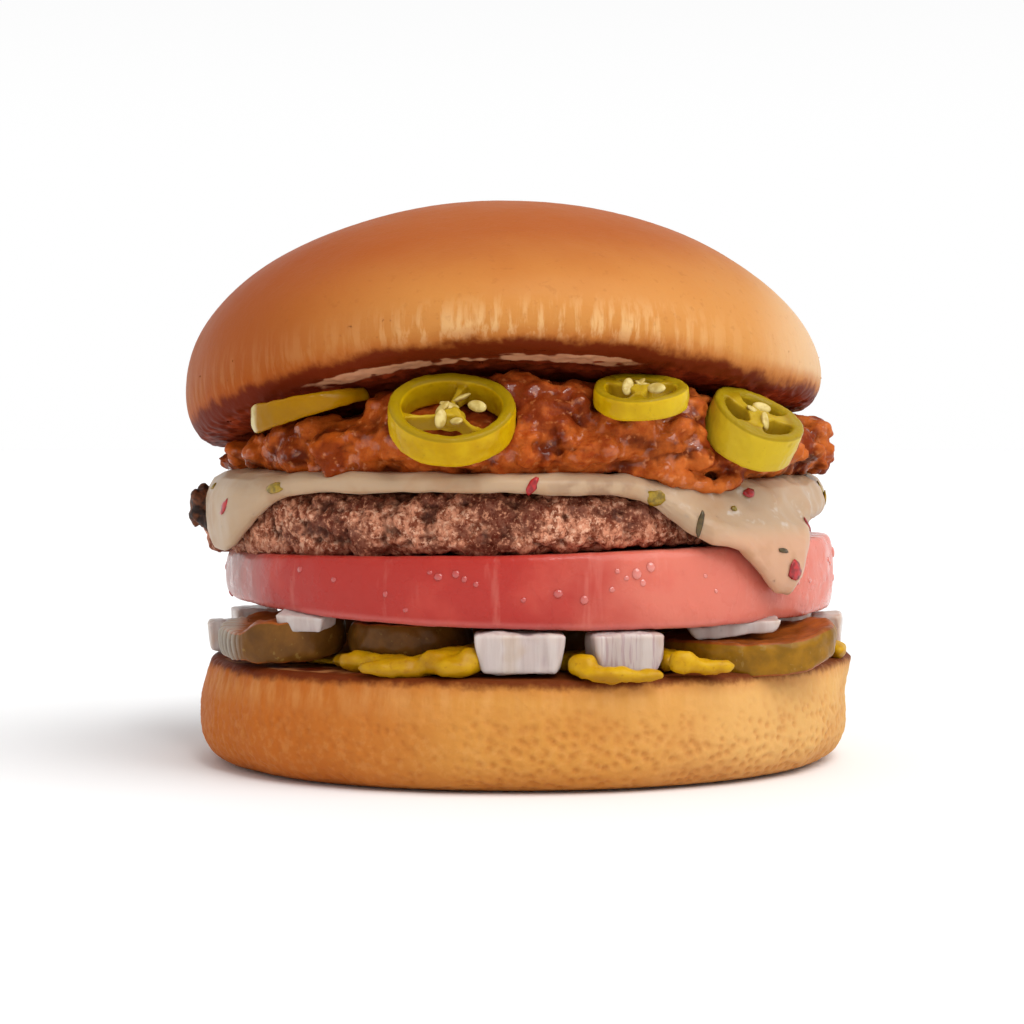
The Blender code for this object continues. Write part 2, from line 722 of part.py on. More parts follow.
def chili_place(co):
    angle, share = angle_of(co.x, co.y), hypot(co.x, co.y)
    reach = CHILI_RADIUS + hills(angle, CHILI_LOBES) + waves(angle, [(6, 80, 0.4)])
    x = reach * share * cos(radians(angle))
    y = reach * share * sin(radians(angle))
    low, high = chili_under(x, y), chili_over(x, y)
    high -= CHILI_FACE_DROP * eased((share - 0.7) / 0.3) * hill(angle, 270, 75)
    z = low + max(high - low, 1.2) * co.z
    rim = eased((share - 0.7) / 0.16)
    spot = (x, y, z)
    swell = CHILI_LUMP * (lumps(spot, 6.0) - 0.5) + 0.7 * rough(spot, 3.0)
    x += rim * swell * cos(radians(angle))
    y += rim * swell * sin(radians(angle))
    if co.z > 0.3:
        z += rim * (0.9 * rough((x, y, z + 20), 4.5) + 0.8 * (lumps(spot, 6.0) - 0.5))
    z = max(z, chili_under(x, y))
    return Vector((x, y, min(z, chili_over(x, y) - 0.1)))


def ring_seat(number, row, finish):
    """The room that a pepper ring takes in the chili, open upwards."""
    x, y, z, outer, height, wall, tilt_x, tilt_y = row[:8]
    lowest, highest = -height / 2 - GAP - 0.1, height / 2 + 9
    bm = turned([(0, lowest), (outer + GAP + 0.15, lowest), (outer + GAP + 0.15, highest), (0, highest)], 18)
    return node(f"seat_{number}", bm, finish, (x, y, z), (tilt_x, tilt_y, 0))


def make_chili(finish):
    obj = node("chili", reshaped(turned(chili_profile(), 72), chili_place), finish)
    rows = RINGS + [HALF_RING]
    seats = [ring_seat(number, row, finish) for number, row in enumerate(rows)]
    boolean_applied(obj, seats, "DIFFERENCE", "MANIFOLD")
    return obj


def build():
    for obj in list(bpy.data.objects):
        bpy.data.objects.remove(obj)
    make_heel(material("bun_heel", (0.62, 0.30, 0.10), 0.65))
    pickles = make_pickles(material("pickle", (0.19, 0.16, 0.03), 0.35))
    make_onions(material("onion", (0.78, 0.72, 0.70), 0.3), pickles)
    make_mustard(material("mustard", (0.75, 0.52, 0.01), 0.4))
    make_tomato(material("tomato", (0.68, 0.10, 0.07), 0.25))
    make_patty(material("beef", (0.23, 0.11, 0.08), 0.6))
    make_cheese(material("cheese", (0.72, 0.62, 0.47), 0.35))
    make_rings(material("pepper", (0.62, 0.50, 0.03), 0.3))
    make_chili(material("chili", (0.28, 0.07, 0.02), 0.35))
    make_crown(material("bun_crown", (0.60, 0.27, 0.09), 0.5))


build()
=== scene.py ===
"""The looks of a cheeseburger with chili and pepper rings, built up from the heel bun to the crown bun.

Shapes are worked out in millimetres and turned into metres as each piece is finished. X points right, Y
away from the shown side and Z up. Angles are degrees about Z from X, so the shown side is at 270.
"""

import random
from math import atan, atan2, cos, degrees, exp, hypot, pi, radians, sin, tau

import bmesh
import bpy
import numpy as np
from mathutils import Euler, Matrix, Vector, noise
from mathutils.bvhtree import BVHTree


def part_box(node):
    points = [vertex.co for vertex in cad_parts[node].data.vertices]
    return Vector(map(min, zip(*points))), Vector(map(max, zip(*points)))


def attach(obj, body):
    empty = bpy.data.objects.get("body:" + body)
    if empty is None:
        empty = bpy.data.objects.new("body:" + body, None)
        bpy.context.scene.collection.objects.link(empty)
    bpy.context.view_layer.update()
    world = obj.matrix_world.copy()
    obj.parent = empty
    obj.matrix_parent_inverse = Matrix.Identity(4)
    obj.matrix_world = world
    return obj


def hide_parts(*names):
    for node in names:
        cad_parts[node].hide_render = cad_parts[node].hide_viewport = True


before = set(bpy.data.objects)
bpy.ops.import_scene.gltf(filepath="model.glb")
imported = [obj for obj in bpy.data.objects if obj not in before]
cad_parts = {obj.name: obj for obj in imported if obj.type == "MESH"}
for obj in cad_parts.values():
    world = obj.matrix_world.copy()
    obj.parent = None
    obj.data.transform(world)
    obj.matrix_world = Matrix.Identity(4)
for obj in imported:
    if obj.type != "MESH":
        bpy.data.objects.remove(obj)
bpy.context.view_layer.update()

MM = 0.001

# Heel bun
# The lower half of a soft white bun: a baked golden crust with a fine orange-peel skin, cut across the top
# and toasted on the griddle, which leaves a thin dark line round the cut edge.


class Value:
    """A number that nodes work out over a surface. The usual operators add Math nodes."""

    def __init__(self, finish, socket):
        self.finish, self.socket = finish, socket

    def _maths(self, operation, first, second):
        return self.finish.add("ShaderNodeMath", {"operation": operation}, {0: first, 1: second})

    def __add__(self, other):
        return self._maths("ADD", self, other)

    def __sub__(self, other):
        return self._maths("SUBTRACT", self, other)

    def __rsub__(self, other):
        return self._maths("SUBTRACT", other, self)

    def __mul__(self, other):
        return self._maths("MULTIPLY", self, other)

    __radd__ = __add__
    __rmul__ = __mul__

    def step(self, low, high):
        """0 below low, 1 above high and smooth between them. With low above high it falls instead."""
        settings = {"interpolation_type": "SMOOTHSTEP"}
        return self.finish.add("ShaderNodeMapRange", settings, {0: self, 1: low, 2: high, 3: 0.0, 4: 1.0})


class Finish:
    """A material on a Principled shader. Its constants go straight on the shader's sockets."""

    def __init__(self, name, **constants):
        self.material = bpy.data.materials.new(name)
        self.material.use_nodes = True
        self.tree = self.material.node_tree
        self.shader = self.tree.nodes["Principled BSDF"]
        for socket, value in constants.items():
            self.shader.inputs[socket.replace("_", " ")].default_value = value

    def add(self, kind, settings, sockets, output=0):
        made = self.tree.nodes.new(kind)
        for name, value in settings.items():
            setattr(made, name, value)
        for key, value in sockets.items():
            if isinstance(value, Value):
                self.tree.links.new(value.socket, made.inputs[key])
            else:
                made.inputs[key].default_value = value
        return Value(self, made.outputs[output])

    def place(self):
        """The point on the piece, in metres."""
        return self.add("ShaderNodeTexCoord", {}, {}, "Object")

    def along(self, axis):
        """One coordinate of the point on the piece, in millimetres."""
        return self.add("ShaderNodeSeparateXYZ", {}, {0: self.place()}, axis) * 1000

    def stretched(self, x, y, z):
        """The point on the piece with each axis multiplied, to draw a pattern out along an axis."""
        return self.add("ShaderNodeMapping", {}, {0: self.place(), "Scale": (x, y, z)})

    def cloud(self, size, detail=3.0, rough=0.5, at=None):
        """Soft noise around 0.5 with spots about size millimetres across."""
        sockets = {"Vector": at or self.place(), "Scale": 1000 / size, "Detail": detail, "Roughness": rough}
        return self.add("ShaderNodeTexNoise", {}, sockets)

    def tone(self, size, at=None):
        """A number from 0 to 1 that jumps from one grain to the next, with grains about size across."""
        sockets = {"Vector": at or self.place(), "Scale": 1000 / size}
        cell = self.add("ShaderNodeTexVoronoi", {}, sockets, "Color")
        return self.add("ShaderNodeSeparateColor", {}, {0: cell})

    def worked(self, name):
        """A number that the mesh holds for each vertex, such as how far it stands out."""
        return self.add("ShaderNodeAttribute", {"attribute_name": name}, {}, "Fac")

    def mix(self, share, first, second):
        """A colour between two."""
        first, second = [(*c, 1.0) if isinstance(c, tuple) else c for c in (first, second)]
        return self.add("ShaderNodeMix", {"data_type": "RGBA"}, {0: share, 6: first, 7: second}, 2)

    def layered(self, colour, *layers):
        """A colour with others laid over it in turn, each as a share and a colour."""
        for share, over in layers:
            colour = self.mix(share, colour, over)
        return colour

    def wear(self, colour, roughness=None, height=None, strength=0.5, depth=0.0002):
        """Links what changes over the surface to the shader."""
        self.tree.links.new(colour.socket, self.shader.inputs["Base Color"])
        if roughness is not None:
            self.tree.links.new(roughness.socket, self.shader.inputs["Roughness"])
        if height is not None:
            sockets = {"Height": height, "Strength": strength, "Distance": depth}
            bump = self.add("ShaderNodeBump", {}, sockets)
            self.tree.links.new(bump.socket, self.shader.inputs["Normal"])
        return self.material


def rgb(red, green, blue):
    """A colour as a picture editor gives it, 0 to 255, in the shader's linear terms."""
    shares = [value / 255 for value in (red, green, blue)]
    return tuple(s / 12.92 if s < 0.04045 else ((s + 0.055) / 1.055) ** 2.4 for s in shares)


def away(angle, centre):
    """Degrees from one angle to another, from -180 to 180."""
    return (angle - centre + 180) % 360 - 180


def hill(angle, centre, width):
    return exp(-((away(angle, centre) / width) ** 2))


def eased(value):
    share = min(max(value, 0.0), 1.0)
    return share * share * (3 - 2 * share)


def angle_of(co):
    return degrees(atan2(co.y, co.x)) % 360


def heading(angle):
    """A level vector of length 1 at an angle."""
    return Vector((cos(radians(angle)), sin(radians(angle)), 0))


def rough(co, size, shift=0.0):
    """Soft unevenness from -1 to 1, about size across."""
    return noise.noise(co / size + Vector((shift, shift, shift)))


def nearest_grain(co, size, shift=0.0):
    """Distance to the nearest of points scattered size apart, in shares of size."""
    return noise.voronoi(co / size + Vector((shift, shift, shift)))[0][0]


def lumps(co, size, shift=0.0):
    """Rounded lumps about size across: 1 in the middle of a lump and 0 or less in the cracks."""
    return 1.0 - nearest_grain(co, size, shift) ** 2 * 1.6


def solids(*names):
    """The CAD solids of these names in one bmesh, in millimetres."""
    bm = bmesh.new()
    for name in names:
        bm.from_mesh(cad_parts[name].data)
    bm.transform(Matrix.Scale(1 / MM, 4))
    return bm


def solid_copy(name):
    """One CAD solid in millimetres, merged and mostly four-sided again."""
    bm = solids(name)
    bmesh.ops.remove_doubles(bm, verts=bm.verts, dist=0.002)
    bmesh.ops.dissolve_degenerate(bm, edges=bm.edges, dist=0.001)
    limits = {"angle_face_threshold": radians(35), "angle_shape_threshold": radians(70)}
    bmesh.ops.join_triangles(bm, faces=bm.faces, **limits)
    return bm


def placed(name, data):
    """A new object in the scene that shows this mesh, light or camera."""
    obj = bpy.data.objects.new(name, data)
    bpy.context.scene.collection.objects.link(obj)
    return obj


def modified(bm, kind, **settings):
    """The bmesh with one modifier applied to it."""
    mesh = bpy.data.meshes.new("shaping")
    bm.to_mesh(mesh)
    bm.free()
    obj = placed("shaping", mesh)
    modifier = obj.modifiers.new("shaping", kind)
    for name, value in settings.items():
        setattr(modifier, name, value)
    bpy.context.view_layer.update()
    done = bmesh.new()
    done.from_object(obj, bpy.context.evaluated_depsgraph_get())
    bpy.data.objects.remove(obj)
    bpy.data.meshes.remove(mesh)
    return done


def rounded(bm, levels, crease=0.0):
    """The bmesh rounded off. The higher the crease, the tighter the edges that turn sharply stay."""
    if crease:
        layer = bm.edges.layers.float.new("crease_edge")
        for edge in bm.edges:
            if edge.is_manifold and edge.calc_face_angle() > radians(48):
                edge[layer] = crease
    return modified(bm, "SUBSURF", levels=levels, render_levels=levels)


def remeshed(bm, size):
    """One closed skin over everything in the bmesh, made of faces about size across."""
    return modified(bm, "REMESH", mode="VOXEL", voxel_size=size, adaptivity=0.0)


def eased_off(bm, rounds):
    """Smooths the bmesh a little, several times over."""
    axes = {"use_axis_x": True, "use_axis_y": True, "use_axis_z": True}
    for _ in range(rounds):
        bmesh.ops.smooth_vert(bm, verts=bm.verts, factor=0.5, **axes)
    return bm


def refined(bm, size, where=None):
    """Splits every edge longer than size, where the test on its middle allows."""
    bmesh.ops.triangulate(bm, faces=bm.faces)
    for _ in range(7):
        edges = [edge for edge in bm.edges if edge.calc_length() > size]
        if where is not None:
            edges = [e for e in edges if where((e.verts[0].co + e.verts[1].co) / 2)]
        if not edges:
            break
        bmesh.ops.subdivide_edges(bm, edges=edges, cuts=1)
        bmesh.ops.triangulate(bm, faces=[face for face in bm.faces if len(face.verts) > 3])
    return bm


def pushed(bm, relief, keep=None):
    """Moves each vertex along its normal by what relief(co) says, and can keep that as a number."""
    bm.normal_update()
    layer = bm.verts.layers.float.new(keep) if keep else None
    moves = [relief(vert.co) for vert in bm.verts]
    for vert, move in zip(bm.verts, moves):
        vert.co += vert.normal * move
        if layer:
            vert[layer] = move
    return bm


def numbered(bm, name, number):
    """Keeps number(vert) on each vertex for the material."""
    layer = bm.verts.layers.float.new(name)
    for vert in bm.verts:
        vert[layer] = number(vert)
    return bm


def joined(parts):
    """Several bmeshes as one."""
    whole = bmesh.new()
    for part in parts:
        mesh = bpy.data.meshes.new("part")
        part.to_mesh(mesh)
        part.free()
        whole.from_mesh(mesh)
        bpy.data.meshes.remove(mesh)
    return whole


def blob(place, radii, turn=(0.0, 0.0, 0.0), subdivisions=2):
    """A ball stretched along each axis, turned and put in its place."""
    bm = bmesh.new()
    bmesh.ops.create_icosphere(bm, subdivisions=subdivisions, radius=1)
    bmesh.ops.scale(bm, vec=radii, verts=bm.verts)
    bmesh.ops.rotate(bm, matrix=Euler(turn).to_matrix(), verts=bm.verts)
    bmesh.ops.translate(bm, vec=place, verts=bm.verts)
    return bm


def piece(name, bm, material, slot, *stands_for):
    """Finishes a piece: in metres, smooth, riding on the burger and standing for its CAD solids."""
    bm.transform(Matrix.Scale(MM, 4))
    mesh = bpy.data.meshes.new(name)
    bm.to_mesh(mesh)
    bm.free()
    mesh.shade_smooth()
    mesh.materials.append(material)
    obj = placed(name, mesh)
    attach(obj, "root")
    if stands_for:
        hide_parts(*stands_for)


HEEL_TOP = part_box("bottom_bun")[1][2] / MM
PIT_SIZE = 1.3  # distance between the dimples of the orange-peel skin
PIT_DEPTH = 0.46
CRUST_GOLD = rgb(198, 138, 66)
CRUST_LEFT = rgb(182, 100, 38)
CRUST_RIGHT = rgb(208, 160, 96)
CRUST_DEEP = rgb(164, 86, 32)
CRUST_PALE = rgb(222, 168, 104)
TOASTED = rgb(86, 25, 7)
CRUMB = rgb(170, 110, 66)


def heel_relief(co):
    side = eased((hypot(co.x, co.y) - 44) / 4) * eased((HEEL_TOP - co.z) / 1.0) * eased(co.z / 1.4)
    lower = (0.25 + 0.75 * eased((13.5 - co.z) / 6)) * (0.55 + 0.45 * eased((co.x + 30) / 40))
    pit = exp(-((nearest_grain(co, PIT_SIZE) / 0.4) ** 2))
    fine = 0.08 * rough(co, 0.8, 4)
    streak = rough(Vector((co.x * 1.6, co.y * 1.6, co.z * 0.25)), 2.2)
    frayed = 0.3 * rough(co, 1.4, 9) * eased((co.z - HEEL_TOP + 1.4) / 1.2)
    soft = 0.3 * rough(co, 9) + 0.11
    return side * (0.1 - PIT_DEPTH * lower * pit + fine + 0.1 * streak * (1 - lower) + soft + frayed)


def heel_finish():
    bread = Finish(
        "heel_crust", Specular_IOR_Level=0.04, Subsurface_Weight=0.1, Subsurface_Radius=(1.0, 0.5, 0.2),
        Subsurface_Scale=0.0015,
    )
    across, height = bread.along("X"), bread.along("Z")
    streaks = bread.cloud(2.2, 4, 0.6, bread.stretched(1, 1, 0.16))
    blotch = bread.cloud(14, 3, 0.5)
    specks = bread.cloud(1.4, 3, 0.6)
    # Darker and more orange on the left, paler on the right: partly the crust's own tone, partly painted
    # shade on the left and painted light on the right, where the key light falls.
    sides = across + 14 * (blotch - 0.5)
    colour = bread.mix(sides.step(0, -36), CRUST_GOLD, CRUST_LEFT)
    colour = bread.layered(
        colour,
        (sides.step(6, 42), CRUST_RIGHT),
        (height.step(9.5, 14) * streaks.step(0.35, 0.7) * 0.35, CRUST_PALE),
        (specks.step(0.45, 0.68) * height.step(15, 6) * 0.16, CRUST_PALE),
    )
    # Painted shade: the dimples of the orange-peel skin are painted darker where they dip.
    pit = bread.worked("relief").step(0.2, -0.16)
    colour = bread.mix(pit * height.step(15.5, 11) * 0.28, colour, CRUST_DEEP)
    colour = bread.mix(height.step(5.0, 0.3) * 0.42, colour, CRUST_DEEP)
    edge = height + 0.8 * (streaks - 0.5) + 1.4 * (specks - 0.5) + 1.4 * (blotch - 0.5)
    colour = bread.mix(edge.step(HEEL_TOP - 3.6, HEEL_TOP - 0.8) * 0.4, colour, rgb(164, 84, 32))
    colour = bread.mix(edge.step(HEEL_TOP - 2.0, HEEL_TOP - 0.6) * 0.9, colour, TOASTED)
    face = bread.mix(bread.cloud(4, 4).step(0.4, 0.65), TOASTED, CRUMB)
    colour = bread.mix(height.step(HEEL_TOP - 0.06, HEEL_TOP - 0.02), colour, face)
    shine = 0.42 + 0.25 * bread.cloud(3, 3)
    return bread.wear(colour, shine, bread.cloud(0.5, 3) + 0.6 * specks, 0.35, 0.0002)


heel = rounded(solid_copy("bottom_bun"), 2, 0.25)
heel = refined(heel, 0.44, lambda co: hypot(co.x, co.y) > 45 and co.y < 20)
heel = refined(heel, 0.75, lambda co: hypot(co.x, co.y) > 45)
pushed(heel, heel_relief, "relief")
piece("heel_bun", heel, heel_finish(), "bun_heel", "bottom_bun")


# Mustard
# A thick line of yellow mustard squeezed over the heel. It is wet and smooth, and it swells up round the
# onion and the pickles that were pressed into it.

# Where it wells up at the front and at the sides: x, y, z, then half its length, depth and height
MUSTARD_WELLS = [
    (-23.6, -38.8, 18.0, 3.2, 2.2, 1.6), (-17.0, -44.0, 17.5, 6.5, 2.6, 1.5),
    (-10.0, -46.6, 17.9, 3.8, 2.2, 1.6), (-7.6, -46.2, 18.9, 1.9, 1.7, 2.1),
    (-12.6, -45.4, 18.9, 2.2, 1.6, 1.4), (8.4, -47.4, 18.1, 2.2, 2.0, 1.9),
    (12.0, -49.2, 17.0, 4.6, 1.5, 1.3), (17.0, -48.2, 16.9, 2.8, 1.4, 1.1),
    (22.6, -44.2, 18.4, 2.2, 1.8, 1.9), (26.4, -43.2, 17.7, 3.8, 1.6, 1.3),
    (48.6, -9.0, 17.2, 1.8, 3.4, 1.5), (47.2, 8.0, 17.6, 2.0, 4.0, 1.4),
    (12.0, 47.0, 17.6, 4.0, 1.8, 1.4), (-34.0, 32.5, 17.8, 2.6, 2.6, 1.5),
]
MUSTARD_VOXEL = 0.5


def mustard_relief(co):
    return 0.25 * rough(co, 3.0) + 0.28 * rough(co, 1.3, 5)


def mustard_finish():
    sauce = Finish(
        "mustard_sauce", Subsurface_Weight=0.1, Subsurface_Radius=(1.0, 0.6, 0.1), Subsurface_Scale=0.001,
        Specular_IOR_Level=0.2,
    )
    spots = sauce.cloud(3, 4)
    colour = sauce.mix(spots.step(0.3, 0.7), rgb(176, 127, 0), rgb(202, 157, 4))
    colour = sauce.layered(
        colour,
        # Painted shade: lower down, under the pickles, the mustard is painted darker.
        (sauce.along("Z").step(17.8, 16.4) * 0.5, rgb(136, 88, 0)),
        # Painted shade: the left half, away from the key light, is painted darker.
        (sauce.along("X").step(0, -12) * 0.35, rgb(134, 88, 0)),
        (sauce.cloud(0.7, 2).step(0.6, 0.72) * 0.4, rgb(138, 84, 4)),
    )
    return sauce.wear(colour, 0.28 + 0.25 * spots, sauce.cloud(0.8, 3), 0.35, 0.0002)


wells = [blob(row[:3], row[3:], subdivisions=3) for row in MUSTARD_WELLS]
mustard = remeshed(joined([solid_copy("mustard")] + wells), MUSTARD_VOXEL)
pushed(eased_off(mustard, 4), mustard_relief)
piece("mustard_drizzle", mustard, mustard_finish(), "mustard", "mustard")


# Pickle chips
# Slices of a pickled cucumber. A dark green skin runs round a softer, wet olive flesh, and some of the
# slices are crinkle cut.

SKIN_DARK = rgb(110, 70, 22)
SKIN_OLIVE = rgb(142, 98, 12)
FLESH_BROWN = rgb(142, 74, 26)
CUT_GREY = rgb(166, 160, 150)
DROOPING_CHIP = 4  # the chip at the front right, which sags over the edge of the heel
RIDGED_CHIP = 1  # the chip at the front left, with its crinkle-cut end outwards


def shaded(colour, share):
    """A colour with its light multiplied."""
    return tuple(share * part for part in colour)


def chip_axis(name):
    """The direction across the flat of a chip, from the spread of its vertices."""
    points = np.array([vert.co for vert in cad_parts[name].data.vertices])
    points = np.unique(points.round(6), axis=0)
    axis = Vector(np.linalg.svd(points - points.mean(axis=0))[2][2])
    return axis if axis.z > 0 else -axis


def pickle_finish(name, skin, flesh):
    chip = Finish(
        name, Specular_IOR_Level=0.1, Subsurface_Weight=0.12, Subsurface_Radius=(0.8, 0.6, 0.2),
        Subsurface_Scale=0.0015, Coat_Weight=0.14, Coat_Roughness=0.12,
    )
    spots = chip.cloud(3.2, 4, 0.6)
    side = chip.worked("side")
    patchy = spots.step(0.3, 0.7)
    skin_colour = chip.mix(patchy, shaded(skin, 0.7), shaded(skin, 1.12))
    skin_colour = chip.mix(chip.cloud(0.9, 2).step(0.64, 0.72) * 0.4, skin_colour, rgb(150, 120, 60))
    flesh_colour = chip.mix(patchy, shaded(flesh, 0.75), shaded(flesh, 1.3))
    colour = chip.mix((side + 0.3 * (spots - 0.5)).step(0.2, 0.6), flesh_colour, skin_colour)
    # The crinkle-cut end is pale grey, with painted light on its ridges and painted shade in its grooves.
    colour = chip.mix(chip.worked("cut") * (0.75 + 0.3 * spots), colour, CUT_GREY)
    return chip.wear(colour, 0.3 + 0.25 * spots, chip.cloud(1.2, 3), 0.3, 0.0003)


def ridge(co, end, middle):
    """How far a point lies on the crinkle-cut end of the ridged chip, and the ridges there."""
    cut = eased((end + 4.6 - co.x) / 2.6)
    turn = atan2(co.y - middle.y, co.x - middle.x)
    return cut, sin(46 * turn + 1.2 * rough(co, 3))


def ridge_shade(co, end, middle):
    """How pale the crinkle-cut end is at a point, with painted light and shade: the tops of its ridges are
    painted paler and the grooves between them darker.
    """
    cut, wave = ridge(co, end, middle)
    return cut * (0.6 + 0.4 * wave)


def pickle_relief(end, middle, ridged):
    def relief(co):
        warts = 0.28 * rough(co, 2.6) + 0.12 * rough(co, 1.0, 3)
        if not ridged:
            return warts + 0.05
        cut, wave = ridge(co, end, middle)
        return warts * (1 - cut) + 0.26 * cut * wave

    return relief


def drooped(bm):
    """Bends the part of a chip that lies beyond the heel's edge downwards, and curls its right end up."""
    for vert in bm.verts:
        out = eased((hypot(vert.co.x, vert.co.y) - 43.5) / 7) * eased((-24 - vert.co.y) / 6)
        vert.co.z -= out * (1.5 if vert.co.z < 19 else 0.5)
        vert.co.z += 1.2 * eased((vert.co.x - 40) / 6)
    return bm


def thickened(bm):
    """Raises the front wall of a chip above the rest of its top."""
    for vert in bm.verts:
        front = eased((vert.co.x + 41.5) / 3) * eased((-25.5 - vert.co.y) / 3.5)
        vert.co.z += 2.0 * front * eased((vert.co.z - 18) / 3)
    return bm


pickle_dark = pickle_finish("pickle_dark", SKIN_DARK, FLESH_BROWN)
pickle_olive = pickle_finish("pickle_olive", SKIN_OLIVE, FLESH_BROWN)
for number in range(1, 8):
    name = f"pickle_{number}"
    axis = chip_axis(name)
    chip = refined(rounded(solid_copy(name), 2, 0.6), 0.6)
    end = min(vert.co.x for vert in chip.verts)
    middle = sum((vert.co for vert in chip.verts), Vector()) / len(chip.verts)
    ridged = number == RIDGED_CHIP
    if number == DROOPING_CHIP:
        drooped(chip)
    if ridged:
        thickened(refined(chip, 0.3, lambda co: co.x < end + 5))
    chip.normal_update()
    numbered(chip, "side", lambda vert: 1 - eased((abs(vert.normal.dot(axis)) - 0.4) / 0.35))
    numbered(chip, "cut", lambda vert: ridge_shade(vert.co, end, middle) if ridged else 0.0)
    pushed(chip, pickle_relief(end, middle, ridged))
    finish = pickle_olive if number == DROOPING_CHIP else pickle_dark
    piece(f"pickle_chip_{number}", chip, finish, "pickle", name)


# Diced onion
# Raw white onion in thick dice. Each piece keeps a few of the bulb's layers, which show as faint lines,
# some of them tinged with purple, and the wet flesh lets light through.

FLAT_PIECES = (3, 4)  # thin pieces that the tomato presses on the pickles
ONION_WHITE = rgb(196, 184, 178)
ONION_SHADE = rgb(184, 168, 162)
ONION_PURPLE = rgb(140, 98, 112)
ONION_TAN = rgb(176, 150, 126)


def onion_relief(co):
    layers = 0.15 * rough(Vector((co.x, co.y, co.z * 0.15)), 1.7)
    thin_layers = 0.07 * rough(Vector((co.x, co.y, co.z * 0.1)), 0.6)
    return layers + thin_layers + 0.3 * rough(co, 3.4, 2) + 0.1


def onion_finish():
    bulb = Finish(
        "onion_flesh", Specular_IOR_Level=0.12, Subsurface_Weight=0.55, Subsurface_Radius=(1.0, 0.8, 0.7),
        Subsurface_Scale=0.003, Coat_Weight=0.25, Coat_Roughness=0.15,
    )
    layers = bulb.cloud(1.7, 3, 0.55, bulb.stretched(1, 1, 0.07))
    fine = bulb.cloud(0.7, 2, 0.5, bulb.stretched(1, 1, 0.1))
    blotch = bulb.cloud(6, 2)
    crack = bulb.worked("relief").step(0.0, -0.2)
    tinged = bulb.along("X").step(9, 12) * bulb.along("X").step(24, 20)
    colour = bulb.mix(layers.step(0.35, 0.62), ONION_SHADE, ONION_WHITE)
    colour = bulb.layered(
        colour,
        # Darker purple in the hollows of the relief: partly the purple of the layers, partly painted shade.
        (crack * 0.25, ONION_PURPLE),
        (fine.step(0.5, 0.6) * tinged * 0.38, ONION_PURPLE),
        (fine.step(0.6, 0.7) * blotch.step(0.45, 0.6) * 0.35, ONION_PURPLE),
        (blotch.step(0.5, 0.66) * 0.5, ONION_TAN),
    )
    return bulb.wear(colour, 0.25 + 0.25 * fine, layers + 0.4 * fine, 0.4, 0.0004)


onion_flesh = onion_finish()
for number in range(1, 11):
    name = f"onion_{number}"
    dice = refined(rounded(solid_copy(name), 2, 0.5), 0.45)
    if number in FLAT_PIECES:
        floor_height = min(vert.co.z for vert in dice.verts)
        for vert in dice.verts:
            vert.co.z = floor_height + 1.6 * (vert.co.z - floor_height)
            vert.co.y -= 1.4
    pushed(dice, onion_relief, "relief")
    piece(f"onion_dice_{number}", dice, onion_flesh, "onion", name)


# Tomato
# One thick slice from near the stem of a large tomato. Smooth skin bends round the edge, redder on the
# left, and juice and a few drops of water sit on it.

TOMATO_RED = rgb(172, 50, 42)
TOMATO_PINK = rgb(206, 112, 94)
TOMATO_PALE = rgb(168, 122, 116)
TOMATO_LINE = rgb(214, 128, 122)
TOMATO_UNDER = (23.1, -0.022, 0.0007)  # height of the slice's underside, and how it changes along X

# Angle and height of drops that show from the front
TOMATO_DROPS = [
    (254, 31.2), (255.5, 30.6), (258.5, 31.0), (260, 30.3), (262, 29.6), (286, 31.4), (287.6, 30.4),
    (289.4, 31.0), (290.5, 29.7), (285, 28.8), (292, 31.9), (246, 28.0), (270, 27.4),
]
DROP_COUNT = 46


def tomato_relief(co):
    rim = eased((hypot(co.x, co.y) - 44) / 3)
    faint = rough(Vector((co.x, co.y, co.z * 0.2)), 6)
    return rim * (0.16 * faint + 0.1 * rough(co, 2.2) + 0.15) - 0.02


def tomato_finish():
    fruit = Finish(
        "tomato_skin", Specular_IOR_Level=0.1, Subsurface_Weight=0.2, Subsurface_Radius=(1.0, 0.25, 0.15),
        Subsurface_Scale=0.003, Coat_Weight=0.22, Coat_Roughness=0.1,
    )
    across, height = fruit.along("X"), fruit.along("Z")
    cloud = fruit.cloud(9, 3)
    streaks = fruit.cloud(2.5, 3, 0.55, fruit.stretched(1, 1, 0.12))
    start, slope, bend = TOMATO_UNDER
    rise = height - (start + slope * across + bend * across * across)
    colour = fruit.mix((across + 22 * (cloud - 0.5)).step(0, 22), TOMATO_RED, TOMATO_PINK)
    colour = fruit.layered(
        colour,
        (cloud.step(0.52, 0.68) * 0.35, rgb(196, 76, 62)),
        # Painted reflection: the left end of the skin is painted pale, as a sheen on the wet skin.
        ((across + 5 * (streaks - 0.5)).step(-35, -45), TOMATO_PALE),
        (streaks.step(0.58, 0.72) * 0.25, rgb(214, 132, 116)),
        # Painted highlight: a thin pale line along the lower edge of the slice.
        (rise.step(1.3, 0.5) * 0.35, TOMATO_LINE),
    )
    juice = fruit.cloud(3.0, 3).step(0.48, 0.62)
    return fruit.wear(colour, 0.36 - 0.2 * juice, fruit.cloud(1.4, 3) + 0.5 * juice, 0.3, 0.0003)


tomato = refined(rounded(solid_copy("tomato"), 2), 0.85, lambda co: hypot(co.x, co.y) > 42)
pushed(tomato, tomato_relief)
tomato_tree = BVHTree.FromBMesh(tomato)
piece("tomato_slice", tomato, tomato_finish(), "tomato", "tomato")


def drop_finish():
    wet = Finish("tomato_drop", Roughness=0.06, Coat_Weight=1.0, Coat_Roughness=0.03)
    return wet.wear(wet.mix(wet.along("X").step(0, 22), rgb(176, 58, 52), rgb(208, 118, 104)))


